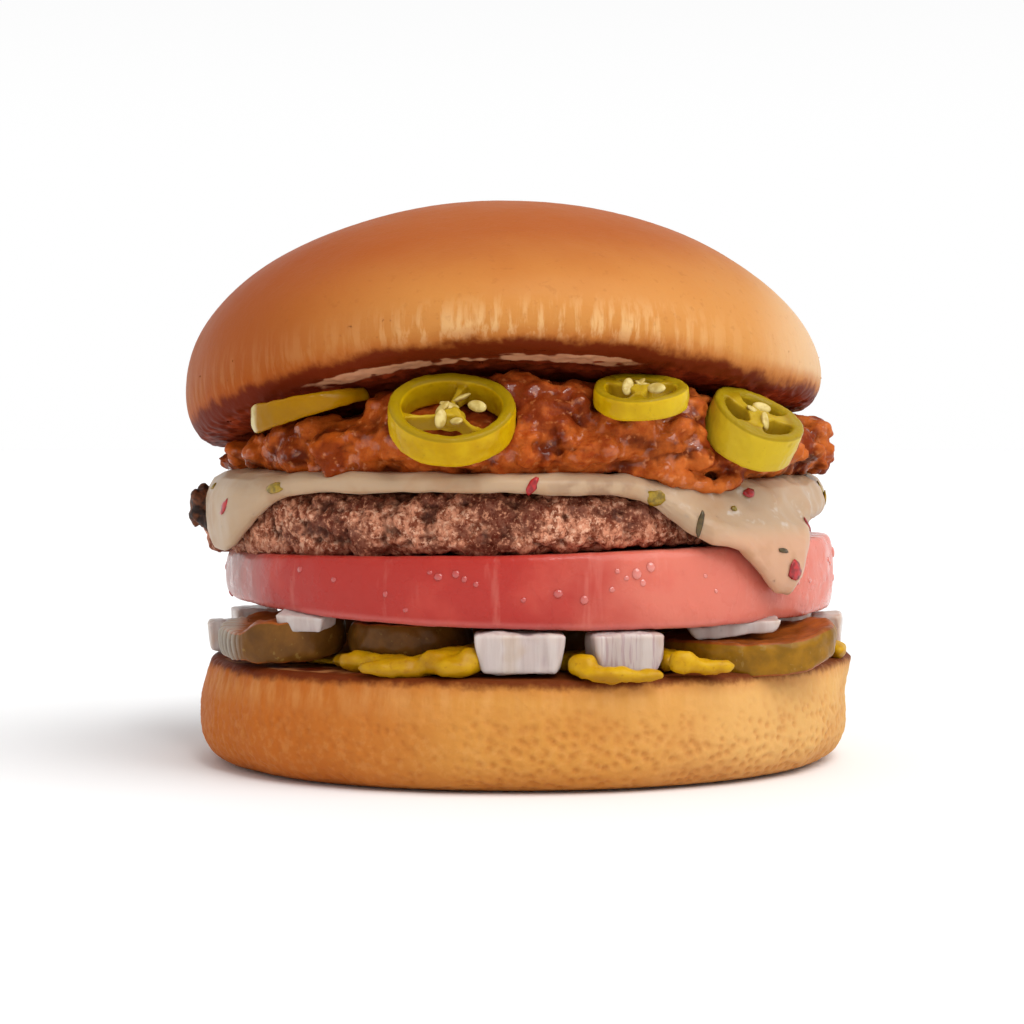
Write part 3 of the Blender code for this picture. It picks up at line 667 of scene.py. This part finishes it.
drop_draw = random.Random(11)
drop_rows = list(TOMATO_DROPS)
while len(drop_rows) < DROP_COUNT:
    drop_rows.append((drop_draw.uniform(0, 360), drop_draw.uniform(25.5, 32.5)))
drops = []
for angle, height in drop_rows:
    out = heading(angle)
    hit, normal, _, _ = tomato_tree.ray_cast(out * 70 + Vector((0, 0, height)), -out)
    size = drop_draw.uniform(0.35, 0.75)
    turn = normal.to_track_quat("Z", "Y").to_euler()
    drops.append(blob(hit, (size, size * drop_draw.uniform(0.8, 1.3), size * 0.45), turn))
piece("tomato_drops", joined(drops), drop_finish(), "tomato")


# Beef patty
# Coarse ground beef pressed flat and griddled. The side is a loose crumb of pinkish-grey grains with cracks
# that are painted dark as shade, and it is browned to char along the top and in patches.

BEEF_PINK = rgb(208, 140, 108)
BEEF_PALE = rgb(226, 174, 144)
BEEF_BROWN = rgb(122, 60, 38)
BEEF_CHAR = rgb(80, 24, 12)

# The crisp scrap at the left: place, then half its length, depth and height
PATTY_SCRAP = [
    ((-50.0, -2.0, 40.2), (2.3, 2.6, 2.6)), ((-50.8, -3.0, 38.2), (1.7, 2.0, 1.7)),
    ((-49.2, 1.5, 38.8), (2.6, 2.2, 2.8)), ((-51.6, -2.4, 36.9), (0.5, 0.6, 0.9)),
    ((-51.2, -3.6, 41.2), (0.8, 1.0, 0.9)), ((-48.6, -4.5, 37.0), (1.8, 1.6, 1.6)),
]


def patty_relief(co):
    rim = eased((hypot(co.x + 1, co.y) - 40) / 3)
    grains = 0.55 * (lumps(co, 2.0) - 0.5) + 0.36 * (lumps(co, 1.0, 4) - 0.5)
    clumps = 0.7 * rough(co, 4.2) + 0.5 * rough(Vector((co.x, co.y, co.z * 0.5)), 1.5, 7)
    foot = 0.9 * eased((35.0 - co.z) / 1.4)
    return rim * (grains + clumps + foot + 0.1)


def patty_finish():
    beef = Finish("beef_crumb", Specular_IOR_Level=0.08, Coat_Roughness=0.2)
    height, relief = beef.along("Z"), beef.worked("relief")
    patch = beef.cloud(7.0, 4, 0.6, beef.stretched(1, 1, 1.4))
    fibre = beef.cloud(1.3, 5, 0.7, beef.stretched(1, 1, 0.7))
    fine = beef.cloud(0.7, 4, 0.7)
    ends = beef.along("X").step(-28, -38) + beef.along("X").step(22, 34)
    patches = 6.0 * (patch - 0.5) + 1.6 * (fibre - 0.5) - 0.45 * ends
    char = ((height - 37) * 0.13 + patches).step(-0.1, 0.4)
    colour = beef.mix(fibre.step(0.38, 0.58), BEEF_BROWN, BEEF_PINK)
    colour = beef.layered(
        colour,
        # Painted highlights: pale flecks on the grains.
        (fine.step(0.53, 0.6) * 0.9, BEEF_PALE),
        (fine.step(0.44, 0.36) * 0.7, rgb(96, 38, 22)),
        # Painted shade: the foot of the patty, under its overhang, is painted darker.
        (height.step(35.5, 33.8) * 0.35, rgb(96, 40, 26)),
        (char * 0.78, BEEF_CHAR),
        # Painted highlights: pale flecks on the charred parts.
        (char * fine.step(0.54, 0.62) * 0.75, rgb(204, 138, 104)),
        # Painted shade: the cracks between the grains are painted nearly black.
        (relief.step(0.1, -0.6) * 0.8, rgb(52, 20, 10)),
    )
    beef.tree.links.new((fibre.step(0.5, 0.7) * 0.3).socket, beef.shader.inputs["Coat Weight"])
    return beef.wear(colour, 0.4 + 0.35 * fibre, fine + 0.6 * fibre, 0.7, 0.0003)


beef_crumb = patty_finish()
patty = refined(rounded(solid_copy("patty"), 1), 0.42, lambda co: hypot(co.x + 1, co.y) > 41.5)
pushed(patty, patty_relief, "relief")
piece("beef_patty", patty, beef_crumb, "beef", "patty")

scrap = remeshed(joined([blob(place, radii) for place, radii in PATTY_SCRAP]), 0.3)
pushed(scrap, lambda co: 0.4 * (lumps(co, 1.5) - 0.5) + 0.35 * rough(co, 1.2))
charred = Finish("beef_char", Specular_IOR_Level=0.3)
char_spots = charred.cloud(1.3, 3)
char_colour = charred.mix(char_spots.step(0.4, 0.66), rgb(40, 20, 10), rgb(112, 62, 34))
piece("patty_scrap", scrap, charred.wear(char_colour, 0.4 + 0.3 * char_spots, char_spots, 0.5), "beef")


# Cheese
# One slice of white cheese with chopped red and green pepper in it, melted over the patty. It is thick and
# satin-smooth, and hangs in soft lobes that lean on the tomato.

CHEESE_CREAM = rgb(182, 154, 124)
CHEESE_WHITE = rgb(174, 146, 118)
CHEESE_ROSY = rgb(194, 150, 120)
CHEESE_TAN = rgb(166, 124, 86)


def cheese_relief(co):
    angle = angle_of(co)
    bulge = hill(angle, 330, 32) * eased((co.z - 34.5) / 3)
    soft = 0.35 * rough(co, 7) + 0.14 * rough(co, 2.6, 3)
    return soft + bulge * (0.8 * rough(co, 5.0, 2) + 0.3 * rough(co, 2.2)) + 0.12


def cheese_finish():
    slice_ = Finish(
        "melted_cheese", Specular_IOR_Level=0.15, Subsurface_Weight=0.35,
        Subsurface_Radius=(1.0, 0.75, 0.45), Subsurface_Scale=0.003, Coat_Weight=0.15, Coat_Roughness=0.2,
    )
    across, height = slice_.along("X"), slice_.along("Z")
    cloud, small = slice_.cloud(7, 3), slice_.cloud(2.6, 3)
    white = across.step(14, 28) * height.step(35, 38)
    colour = slice_.mix(white, CHEESE_CREAM, CHEESE_WHITE)
    colour = slice_.mix(across.step(16, 30) * height.step(38, 34.5), colour, CHEESE_ROSY)
    colour = slice_.mix(cloud.step(0.52, 0.68) * 0.45, colour, CHEESE_TAN)
    thin = across.step(1, 7) * across.step(20, 13) * height.step(45, 43)
    colour = slice_.mix(thin * small.step(0.35, 0.6) * 0.55, colour, rgb(132, 96, 72))
    colour = slice_.mix(small.step(0.6, 0.74) * white * 0.5, colour, rgb(204, 198, 190))
    return slice_.wear(colour, 0.28 + 0.3 * cloud, slice_.cloud(2.0, 3), 0.2, 0.0003)


cheese = refined(rounded(solid_copy("cheese"), 1), 0.7, lambda co: hypot(co.x + 1, co.y) > 40)
pushed(cheese, cheese_relief)
cheese_tree = BVHTree.FromBMesh(cheese)
piece("cheese_slice", cheese, cheese_finish(), "cheese", "cheese")

# Angle, height, length, width and turn of each fleck that shows from the front, by colour
FLECKS = {
    "red": [
        (207, 39.8, 3.2, 1.5, 35), (271.5, 43.4, 2.4, 1.2, 60), (314, 42.2, 2.2, 1.4, 20),
        (329, 37.2, 2.1, 1.2, 80), (319.5, 30.9, 2.8, 2.4, 10), (333, 35.8, 1.6, 1.1, 0),
    ],
    "green": [
        (222, 42.9, 3.0, 1.5, 5), (293.5, 41.6, 2.2, 2.2, 40), (197, 42.8, 1.5, 1.0, 10),
        (309, 40.0, 1.1, 0.8, 0),
    ],
    "olive": [(300.5, 37.9, 3.6, 0.8, 78), (301.5, 35.5, 1.9, 0.8, 10), (317, 33.8, 1.8, 0.6, 170)],
}
FLECK_COLOURS = {"red": rgb(158, 26, 28), "green": rgb(146, 118, 14), "olive": rgb(80, 62, 22)}
BACK_FLECKS = 36


def fleck(angle, height, length, width, turn):
    """A thin chopped bit that lies in the cheese, or None where the cheese isn't met."""
    out = heading(angle)
    hit, normal, _, _ = cheese_tree.ray_cast(out * 70 + Vector((0, 0, height)), -out)
    if hit is None or hit.to_2d().length < 42:
        return None
    bit = bmesh.new()
    bmesh.ops.create_icosphere(bit, subdivisions=2, radius=0.5)
    for vert in bit.verts:
        vert.co *= 1 + 0.5 * rough(vert.co, 0.45, angle + height)
    bmesh.ops.scale(bit, vec=(length * 1.15, width * 1.15, 0.5), verts=bit.verts)
    lie = normal.to_track_quat("Z", "Y").to_matrix() @ Matrix.Rotation(radians(turn), 3, "Z")
    bmesh.ops.rotate(bit, matrix=lie, verts=bit.verts)
    bmesh.ops.translate(bit, vec=hit + normal * 0.02, verts=bit.verts)
    return bit


fleck_draw = random.Random(7)
for colour, rows in FLECKS.items():
    shade = FLECK_COLOURS[colour]
    for _ in range(BACK_FLECKS // 3):
        place = (fleck_draw.uniform(-14, 186), fleck_draw.uniform(35, 43))
        size = (fleck_draw.uniform(1.4, 3), fleck_draw.uniform(0.8, 1.6), fleck_draw.uniform(0, 180))
        rows.append(place + size)
    bits = [bit for bit in (fleck(*row) for row in rows) if bit is not None]
    skin = Finish(f"fleck_{colour}", Roughness=0.3, Subsurface_Weight=0.15, Subsurface_Scale=0.001)
    spots = skin.cloud(0.9, 2)
    tint = skin.mix(spots.step(0.35, 0.65), shaded(shade, 0.6), shaded(shade, 1.3))
    piece(f"cheese_flecks_{colour}", joined(bits), skin.wear(tint), "cheese")


# Chili
# Minced beef cooked down in a thick red-brown sauce, heaped on the cheese. Soft lumps of meat stand out of
# it, glazed with sauce that shines where the light strikes.

PEPPERS = [f"pepper_{number}" for number in range(1, 8)]
CHILI_VOXEL = 0.46
CHILI_LUMPS = 760
CHILI_SKIRT = 2.6  # degrees between the lumps along the lower edge
CHILI_SAG = [(306, 7, 2.6), (296, 6, 1.2), (236, 8, 0.7), (268, 10, 0.5), (80, 12, 1.6), (150, 9, 1.4)]
CHILI_RED = rgb(148, 58, 15)
CHILI_LIT = rgb(179, 88, 35)
CHILI_DARK = rgb(76, 18, 4)


def chili_relief(co):
    rim = eased((hypot(co.x, co.y) - 34) / 4)
    lumpy = 0.35 + 0.65 * eased(0.5 + 1.2 * rough(co, 7, 11))
    curds = 0.42 * (lumps(co, 2.6) - 0.5) + 0.3 * (lumps(Vector((co.x, co.y, co.z * 1.5)), 1.3, 3) - 0.5)
    ledges = 0.65 * rough(Vector((co.x * 0.42, co.y * 0.42, co.z)), 2.3, 8)
    return rim * (curds * lumpy + ledges + 0.3 * rough(co, 4.5, 6) + 0.16 * rough(co, 0.9))


def chili_finish():
    sauce = Finish(
        "chili_sauce", Specular_IOR_Level=0.04, Coat_Roughness=0.1, Subsurface_Weight=0.05,
        Subsurface_Radius=(1.0, 0.3, 0.1), Subsurface_Scale=0.0015,
    )
    relief, across = sauce.worked("relief"), sauce.along("X")
    patch, fine = sauce.cloud(8, 3), sauce.cloud(1.5, 4, 0.6)
    grain = sauce.tone(1.6)
    colour = sauce.mix(fine.step(0.32, 0.66), CHILI_RED, CHILI_LIT)
    colour = sauce.layered(
        colour,
        (grain.step(0.6, 0.9) * 0.3, rgb(190, 96, 34)),
        (across.step(-6, -30) * 0.5, rgb(174, 80, 16)),
        # Painted light: the right side, towards the key light, is painted lighter in patches.
        (across.step(8, 30) * patch.step(0.6, 0.42) * 0.5, rgb(202, 112, 48)),
        (patch.step(0.5, 0.6) * 0.7, rgb(102, 30, 8)),
        # Painted shade: the hollows between the lumps are painted dark.
        (relief.step(0.1, -0.45) * 0.85, CHILI_DARK),
        (sauce.cloud(1.1, 3).step(0.58, 0.7) * 0.35, rgb(216, 134, 78)),
    )
    glaze = sauce.cloud(2.2, 2).step(0.52, 0.6) * 0.8 + 0.03
    sauce.tree.links.new(glaze.socket, sauce.shader.inputs["Coat Weight"])
    return sauce.wear(colour, 0.3 + 0.35 * fine, fine + 0.5 * sauce.cloud(0.5, 2), 0.65, 0.0003)


def chili_lumps(draw):
    """Crumbled meat along the side of the heap, half sunk in it and clear of the pepper rings."""
    heap, rings, crown = [BVHTree.FromBMesh(solids(*names)) for names in (["chili"], PEPPERS, ["top_bun"])]
    (_, _, low), (_, _, high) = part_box("chili")
    low, high = low / MM, high / MM
    made = []
    for _ in range(CHILI_LUMPS):
        angle, height = draw.uniform(0, 360), draw.uniform(low + 0.8, high - 0.3)
        radius = draw.choice((0.7, 0.9, 1.1, 1.3, 1.6, 1.9, 2.3))
        out = heading(angle)
        hit = heap.ray_cast(out * 70 + Vector((0, 0, height)), -out)[0]
        stretch = (draw.uniform(0.8, 1.6), draw.uniform(0.8, 1.6), draw.uniform(0.6, 1.0))
        turn = (draw.uniform(-0.6, 0.6), draw.uniform(-0.6, 0.6), draw.uniform(0, pi))
        if hit is None or hit.to_2d().length < 36:
            continue
        centre = hit - out * radius * 0.3
        if rings.find_nearest(centre)[3] < radius + 0.4 or crown.find_nearest(centre)[3] < radius * 0.9:
            continue
        made.append(blob(centre, [radius * share for share in stretch], turn))
    for step in range(int(360 / CHILI_SKIRT)):
        angle = step * CHILI_SKIRT
        out = heading(angle)
        rises = [low - 1 + 0.3 * rise for rise in range(12)]
        hits = [heap.ray_cast(out * 70 + Vector((0, 0, rise)), -out)[0] for rise in rises]
        hits = [hit for hit in hits if hit is not None and hit.to_2d().length > 40]
        radius = draw.uniform(1.1, 1.9)
        if not hits:
            continue
        sag = sum(depth * hill(angle, centre, width) for centre, width, depth in CHILI_SAG)
        centre = hits[0] + out * (0.75 * sag - 0.5) - Vector((0, 0, 0.8 * sag - 0.5))
        made.append(blob(centre, (radius, radius * 1.2, radius * 0.85), (0, 0, radians(angle))))
    return made


chili = remeshed(joined([solid_copy("chili")] + chili_lumps(random.Random(3))), CHILI_VOXEL)
pushed(eased_off(chili, 1), chili_relief, "relief")
piece("chili_heap", chili, chili_finish(), "chili", "chili")


# Pepper rings
# Pickled hot peppers sliced across. A ring has a thin waxy skin, thick yellow-green flesh, and pale ribs
# that carry flat cream seeds.

RING_WALL = 2.0
RING_GROWTH = 1.011
RING_VOXEL = 0.23
SEED_SIZE = (2.9, 1.7, 0.8)
PEPPER_YELLOW = rgb(184, 142, 0)
PEPPER_GREEN = rgb(138, 112, 10)
PEPPER_RIB = rgb(186, 154, 36)

# Ribs, seeds, first turn, how far the ribs fill the hole and how broad they are, for each whole ring
RING_INSIDES = [
    (3, 6, 75, 0.5, 1.0), (3, 4, 30, 0.85, 1.8), (3, 3, 100, 0.86, 3.0),
    (3, 4, 10, 0.6, 1.0), (2, 3, 50, 0.6, 1.4), (3, 3, 0, 0.6, 1.2),
]


class Disc:
    """Centre, axis, radius and thickness of a pepper ring's CAD solid, found from its vertices."""

    def __init__(self, name):
        points = np.array([vert.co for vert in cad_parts[name].data.vertices]) / MM
        points = np.unique(points.round(3), axis=0)
        middle = (points.min(axis=0) + points.max(axis=0)) / 2
        middle = points.mean(axis=0) * 0.5 + middle * 0.5
        axis = Vector(np.linalg.svd(points - middle)[2][2])
        self.axis = axis if axis.z > 0 else -axis
        across = (points - middle) @ np.array(self.axis)
        self.centre = Vector(middle) + self.axis * float((across.max() + across.min()) / 2)
        self.thickness = float(across.max() - across.min())
        flat = points - np.array(self.centre)
        flat = flat - np.outer(flat @ np.array(self.axis), np.array(self.axis))
        self.radius = float(np.linalg.norm(flat, axis=1).max())


def ring_finish():
    flesh = Finish(
        "pepper_flesh", Specular_IOR_Level=0.05, Subsurface_Weight=0.3,
        Subsurface_Radius=(1.0, 0.8, 0.15), Subsurface_Scale=0.002, Coat_Weight=0.14, Coat_Roughness=0.08,
    )
    inside, face = flesh.worked("inside"), flesh.worked("face")
    spots, across = flesh.cloud(3.0, 4), flesh.along("X")
    colour = flesh.mix(spots.step(0.3, 0.7), PEPPER_YELLOW, rgb(200, 162, 8))
    colour = flesh.layered(
        colour,
        (across.step(8, 30) * 0.8, rgb(200, 172, 38)),
        # Painted shade: the half ring at the far left, in shadow, is painted darker.
        (across.step(-20, -24) * 0.9, rgb(146, 98, 0)),
        (face.step(0.3, 0.9) * 0.8, PEPPER_GREEN),
        (inside.step(0.3, 0.8) * 0.75, rgb(150, 116, 8)),
        (flesh.worked("rib") * 0.75, PEPPER_RIB),
        (flesh.worked("cut"), rgb(206, 188, 130)),
        (flesh.cloud(0.9, 2).step(0.62, 0.72) * 0.2, rgb(120, 92, 4)),
    )
    return flesh.wear(colour, 0.24 + 0.15 * spots, flesh.cloud(1.1, 2), 0.2, 0.0003)


def seed_finish():
    husk = Finish("pepper_seed", Specular_IOR_Level=0.3, Coat_Weight=0.2)
    colour = husk.mix(husk.cloud(1.0, 2).step(0.35, 0.65), rgb(186, 158, 78), rgb(214, 192, 118))
    return husk.wear(colour, 0.35 + 0.1 * husk.cloud(0.5))


def ring_body(radius, thickness, ribs, first, fill, breadth):
    """A ring about Z with its ribs, as one skin."""
    inner, half = radius - RING_WALL, thickness / 2
    corner = 0.4
    section = [
        (radius - corner, -half), (radius - 0.08, -half + corner), (radius, 0),
        (radius - 0.08, half - corner), (radius - corner, half), (inner + 0.7, half - 0.05),
        (inner + 0.15, half - 0.45), (inner, 0), (inner + 0.15, -half + 0.45),
        (inner + 0.7, -half + 0.05),
    ]
    bm = bmesh.new()
    points = [bm.verts.new((x, 0, z)) for x, z in section]
    edges = [bm.edges.new(pair) for pair in zip(points, points[1:] + points[:1])]
    spin = {"cent": (0, 0, 0), "axis": (0, 0, 1), "angle": tau, "steps": 72, "use_merge": True}
    bmesh.ops.spin(bm, geom=points + edges, **spin)
    bmesh.ops.recalc_face_normals(bm, faces=bm.faces)
    parts = [bm]
    for number in range(ribs):
        rib = bmesh.new()
        bmesh.ops.create_cube(rib, size=1)
        bmesh.ops.subdivide_edges(rib, edges=rib.edges, cuts=4, use_grid_fill=True)
        for vert in rib.verts:
            along = vert.co.x + 0.5
            vert.co.y *= breadth * (0.7 + 3.6 * (along - 0.5) ** 2)
            vert.co.z *= thickness * (fill + 0.15 * abs(2 * along - 1))
            vert.co.y += 0.5 * sin(3 * along + number)
            vert.co.x = along * (inner + 0.6) - 0.2
        turn = radians(first) + tau * number / ribs
        bmesh.ops.rotate(rib, matrix=Matrix.Rotation(turn, 3, "Z"), verts=rib.verts)
        parts.append(rib)
    parts.append(blob((0, 0, 0), (inner * 0.3, inner * 0.25, half * fill), subdivisions=3))
    return eased_off(remeshed(joined(parts), RING_VOXEL), 3)


def seeds_of(radius, thickness, count, first, fill):
    """Flat seeds that stand on the ribs near the middle of a ring."""
    made = []
    inner = radius - RING_WALL
    for number in range(count):
        turn = radians(first + 24) + number * 2.4
        out = inner * (0.2 + 0.17 * (number % 3))
        place = (out * cos(turn), out * sin(turn), thickness * 0.5 * fill + 0.15)
        lean = (0.7 * sin(number * 2.3), 0.6 * cos(number * 1.9 + 1), number * 1.3)
        made.append(blob(place, [size / 2 for size in SEED_SIZE], lean, 3))
    return made


def ring_wobble(co, number):
    """A ring is never quite round."""
    angle = atan2(co.y, co.x)
    grow = RING_GROWTH + 0.022 * sin(2 * angle + number * 2) + 0.018 * sin(3 * angle + number) - 0.02
    return Vector((co.x * grow, co.y * grow, co.z + 0.15 * sin(2 * angle + number)))


pepper_flesh, seed_husk = ring_finish(), seed_finish()
seeds = []
for number, (ribs, count, first, fill, breadth) in enumerate(RING_INSIDES, start=1):
    name = f"pepper_{number}"
    disc = Disc(name)
    radius, thickness = disc.radius, disc.thickness
    lie = disc.axis.to_track_quat("Z", "Y").to_matrix().to_4x4()
    ring = ring_body(radius, thickness, ribs, first, fill, breadth)
    inner = radius - RING_WALL
    numbered(ring, "inside", lambda vert: 1 - eased((hypot(vert.co.x, vert.co.y) - inner + 0.5) / 1.2))
    numbered(ring, "rib", lambda vert: 1 - eased((hypot(vert.co.x, vert.co.y) - inner + 1.6) / 1.2))
    numbered(ring, "face", lambda vert: eased((vert.co.z / thickness - 0.34) / 0.12))
    pushed(ring, lambda co: 0.13 * rough(co, 2.6, number) + 0.06 * rough(co, 0.9, number))
    bits = seeds_of(radius, thickness, count, first, fill)
    for part in [ring] + bits:
        for vert in part.verts:
            vert.co = ring_wobble(vert.co, number)
        part.transform(Matrix.Translation(disc.centre) @ lie)
    seeds += bits
    piece(f"pepper_ring_{number}", ring, pepper_flesh, "pepper", name)

half_ring = refined(rounded(solid_copy("pepper_7"), 2, 0.3), 0.4)
end = min(vert.co.x for vert in half_ring.verts)
far_end = max(vert.co.x for vert in half_ring.verts)
top = max(vert.co.z for vert in half_ring.verts)
for vert in half_ring.verts:
    vert.co.z = top - (top - vert.co.z) * (1.06 - 0.66 * (vert.co.x - end) / (far_end - end))
pushed(half_ring, lambda co: 0.2 * rough(co, 3) + 0.1 * rough(co, 1.3, 4) + 0.12)
numbered(half_ring, "cut", lambda vert: eased((end + 1.3 - vert.co.x) / 0.9))
numbered(half_ring, "face", lambda vert: eased((vert.co.z - 55.2) / 1.2) * 0.5)
piece("pepper_ring_7", half_ring, pepper_flesh, "pepper", "pepper_7")
piece("pepper_seeds", joined(seeds), seed_husk, "pepper")


# Crown bun
# The upper half of the bun: a smooth satin dome, darker on top, that wrinkles into fine upright folds above
# the cut edge. The edge is toasted nearly black; the cut face is stained by the chili and painted dark as
# shade.

# How the dome leans, where the plane of its cut lies, and how far the cut edge arches up at the front
CROWN_TILT = Euler((radians(-3.5), radians(-3.5), 0.0))
CROWN_PLACE = Vector((-2.5, 0.0, 51.6))
CROWN_ARCH, CROWN_ARCH_AT, CROWN_ARCH_WIDTH = 8.0, 264.0, 45.0
CROWN_CUT_RADIUS = 46.5
CROWN_VOXEL = 0.8
CROWN_TOP_BROWN = rgb(168, 86, 30)
CROWN_MIDDLE = rgb(198, 132, 66)
CROWN_LEFT = rgb(152, 66, 12)
CROWN_RIGHT = rgb(198, 138, 76)
CROWN_TOASTED = rgb(96, 26, 6)
CROWN_CRUMB = rgb(204, 148, 112)
crown_inverse = (Matrix.Translation(CROWN_PLACE) @ CROWN_TILT.to_matrix().to_4x4()).inverted()


def crown_height(co):
    """Height of a point above the crown's arched cut edge."""
    local = crown_inverse @ co
    angle = angle_of(local)
    share = min(hypot(local.x, local.y) / CROWN_CUT_RADIUS, 1.0) ** 1.4
    lift = CROWN_ARCH * hill(angle, CROWN_ARCH_AT, CROWN_ARCH_WIDTH) * share
    return local.z - lift * (1 - eased(local.z / 30))


def crown_relief(co):
    height = crown_height(co)
    angle = angle_of(co)
    band = eased((height - 0.8) / 2) * eased((12 - height) / 8)
    folds = rough(heading(angle) * 50 + Vector((0, 0, height * 0.12)), 1.3)
    front = 0.35 + 0.65 * hill(angle, 272, 22)
    wrinkle = 0.2 * folds * band * front
    ragged = 0.4 * rough(co, 1.5, 3) * eased((2.2 - height) / 1.5) * eased(height + 0.6)
    under = 0.4 * rough(co, 2.6) * eased((0.4 - height) / 0.5)
    pores = 0.03 * rough(co, 1.1, 8) * eased((height - 6) / 6)
    return 0.35 * rough(co, 16) * eased(height / 8) + wrinkle + ragged + under + pores + 0.05


def crown_finish():
    bread = Finish(
        "crown_crust", Specular_IOR_Level=0.03, Subsurface_Weight=0.1, Subsurface_Radius=(1.0, 0.45, 0.2),
        Subsurface_Scale=0.0015, Coat_Roughness=0.35,
    )
    height, across = bread.worked("height"), bread.along("X")
    streaks = bread.cloud(1.5, 4, 0.6, bread.stretched(1, 1, 0.12))
    blotch = bread.cloud(15, 3)
    specks = bread.cloud(1.3, 3, 0.6)
    colour = bread.mix((height + 9 * (blotch - 0.5)).step(27, 9), CROWN_TOP_BROWN, CROWN_MIDDLE)
    # Darker and more orange on the left: partly the crust's own tone, partly painted shade on the side away
    # from the key light.
    colour = bread.mix((across + 10 * (blotch - 0.5)).step(-8, -44) * 0.85, colour, CROWN_LEFT)
    # Paler on the right: partly the crust's own tone, partly painted light on the side towards the key
    # light.
    colour = bread.mix(across.step(10, 42) * height.step(34, 12) * 0.8, colour, CROWN_RIGHT)
    front = across.step(-26, -8) * across.step(32, 14)
    pale = streaks.step(0.44, 0.6) * height.step(2.5, 4.5) * height.step(13, 5.5)
    colour = bread.layered(
        colour,
        (pale * (0.1 + 0.55 * front), rgb(228, 184, 128)),
        (across.step(32, 46) * height.step(2, 5) * 0.75, rgb(216, 184, 146)),
        (specks.step(0.58, 0.72) * 0.16, rgb(140, 74, 30)),
    )
    edge = height + 1.2 * (streaks - 0.5) + 1.6 * (specks - 0.5) + 3.0 * (bread.cloud(5, 3) - 0.5)
    edge = edge + 1.2 * across.step(20, 40)
    colour = bread.mix(edge.step(6.4, 3.2) * 0.5, colour, rgb(164, 76, 22))
    colour = bread.mix(edge.step(4.3, 2.4) * 0.94, colour, CROWN_TOASTED)
    # The cut face underneath is dark maroon: partly chili stain, partly painted shade.
    stain = bread.cloud(4, 4, 0.6)
    under = bread.mix(stain.step(0.42, 0.62), rgb(96, 30, 12), rgb(136, 52, 24))
    colour = bread.mix(height.step(1.0, 0.5), colour, under)
    torn = (bread.worked("crumb") + 0.4 * (bread.cloud(1.2, 3) - 0.5)).step(0.18, 0.5)
    colour = bread.mix(torn * 0.85, colour, CROWN_CRUMB)
    shine = 0.36 + 0.2 * bread.cloud(5, 3)
    bread.tree.links.new((0.1 * height.step(4, 9)).socket, bread.shader.inputs["Coat Weight"])
    return bread.wear(colour, shine, bread.cloud(0.5, 3) + 0.5 * specks, 0.25, 0.0002)


def crumb_line(vert):
    """A pale line of crumb shows just inside the cut edge at the front."""
    local = crown_inverse @ vert.co
    height = crown_height(vert.co) + 0.2 * rough(vert.co, 2.5)
    line = exp(-(((height - 0.8) / 0.3) ** 2)) * eased((hypot(local.x, local.y) - 42.5) / 2)
    return line * eased((36 - abs(away(angle_of(local), 264))) / 14)


crown = rounded(solid_copy("top_bun"), 2, 0.3)
crown = remeshed(crown, CROWN_VOXEL)
crown = refined(crown, 0.45, lambda co: crown_height(co) < 9 and (crown_inverse @ co).to_2d().length > 40)
pushed(eased_off(crown, 2), crown_relief)
numbered(crown, "height", lambda vert: crown_height(vert.co))
numbered(crown, "crumb", crumb_line)
piece("crown_bun", crown, crown_finish(), "bun_crown", "top_bun")


# Floor, light and camera
# A plain white table in a bright studio: a white surround that is dimmer overhead, a large soft light from
# the right and front, a small one that gives wet food its glints, and the camera just above the table.

PHOTO_LENS = 91.0
CAMERA_PLACE = Vector((-1.6, -410.0, 50.4)) * MM
CAMERA_DROP = atan(76 / 2591)  # how far it looks down
CEILING = 0.62  # brightness overhead, where the horizon has 1

floor_mesh = bmesh.new()
bmesh.ops.create_grid(floor_mesh, x_segments=1, y_segments=1, size=8)
floor_data = bpy.data.meshes.new("floor")
floor_mesh.to_mesh(floor_data)
floor_mesh.free()
floor = placed("floor", floor_data)
table_top = Finish("table_top", Base_Color=(0.93, 0.93, 0.93, 1), Roughness=0.7, Specular_IOR_Level=0.1)
floor_data.materials.append(table_top.material)


class Surround(Finish):
    """The world's light, made with the same nodes as a finish."""

    def __init__(self, name):
        self.world = bpy.data.worlds.new(name)
        self.world.use_nodes = True
        self.tree = self.world.node_tree


surround = Surround("studio")
bpy.context.scene.world = surround.world
towards = surround.add("ShaderNodeTexCoord", {}, {}, "Generated")
upwards = surround.add("ShaderNodeSeparateXYZ", {}, {0: towards}, "Z")
brightness = 1 - (1 - CEILING) * upwards.step(0.1, 0.5)
backdrop = surround.tree.nodes["Background"]
backdrop.inputs["Color"].default_value = (1, 1, 1, 1)
surround.tree.links.new(brightness.socket, backdrop.inputs["Strength"])

# Energy, angle and where it comes from
LIGHTS = {"key": (2.04, 55, (0.6, -0.52, 1.0)), "glint": (0.3, 8, (0.25, -0.8, 0.9))}
for name, (energy, spread, source) in LIGHTS.items():
    light = bpy.data.lights.new(name, "SUN")
    light.energy = energy
    light.angle = radians(spread)
    lamp = placed(name, light)
    lamp.rotation_euler = Vector(source).to_track_quat("Z", "Y").to_euler()

lens = bpy.data.cameras.new("camera")
lens.lens = PHOTO_LENS
lens.sensor_width = 36
lens.clip_start = 0.01
camera = placed("camera", lens)
camera.location = CAMERA_PLACE
camera.rotation_euler = (pi / 2 - CAMERA_DROP, 0, 0)
bpy.context.scene.camera = camera
bpy.context.scene.view_settings.view_transform = "Standard"
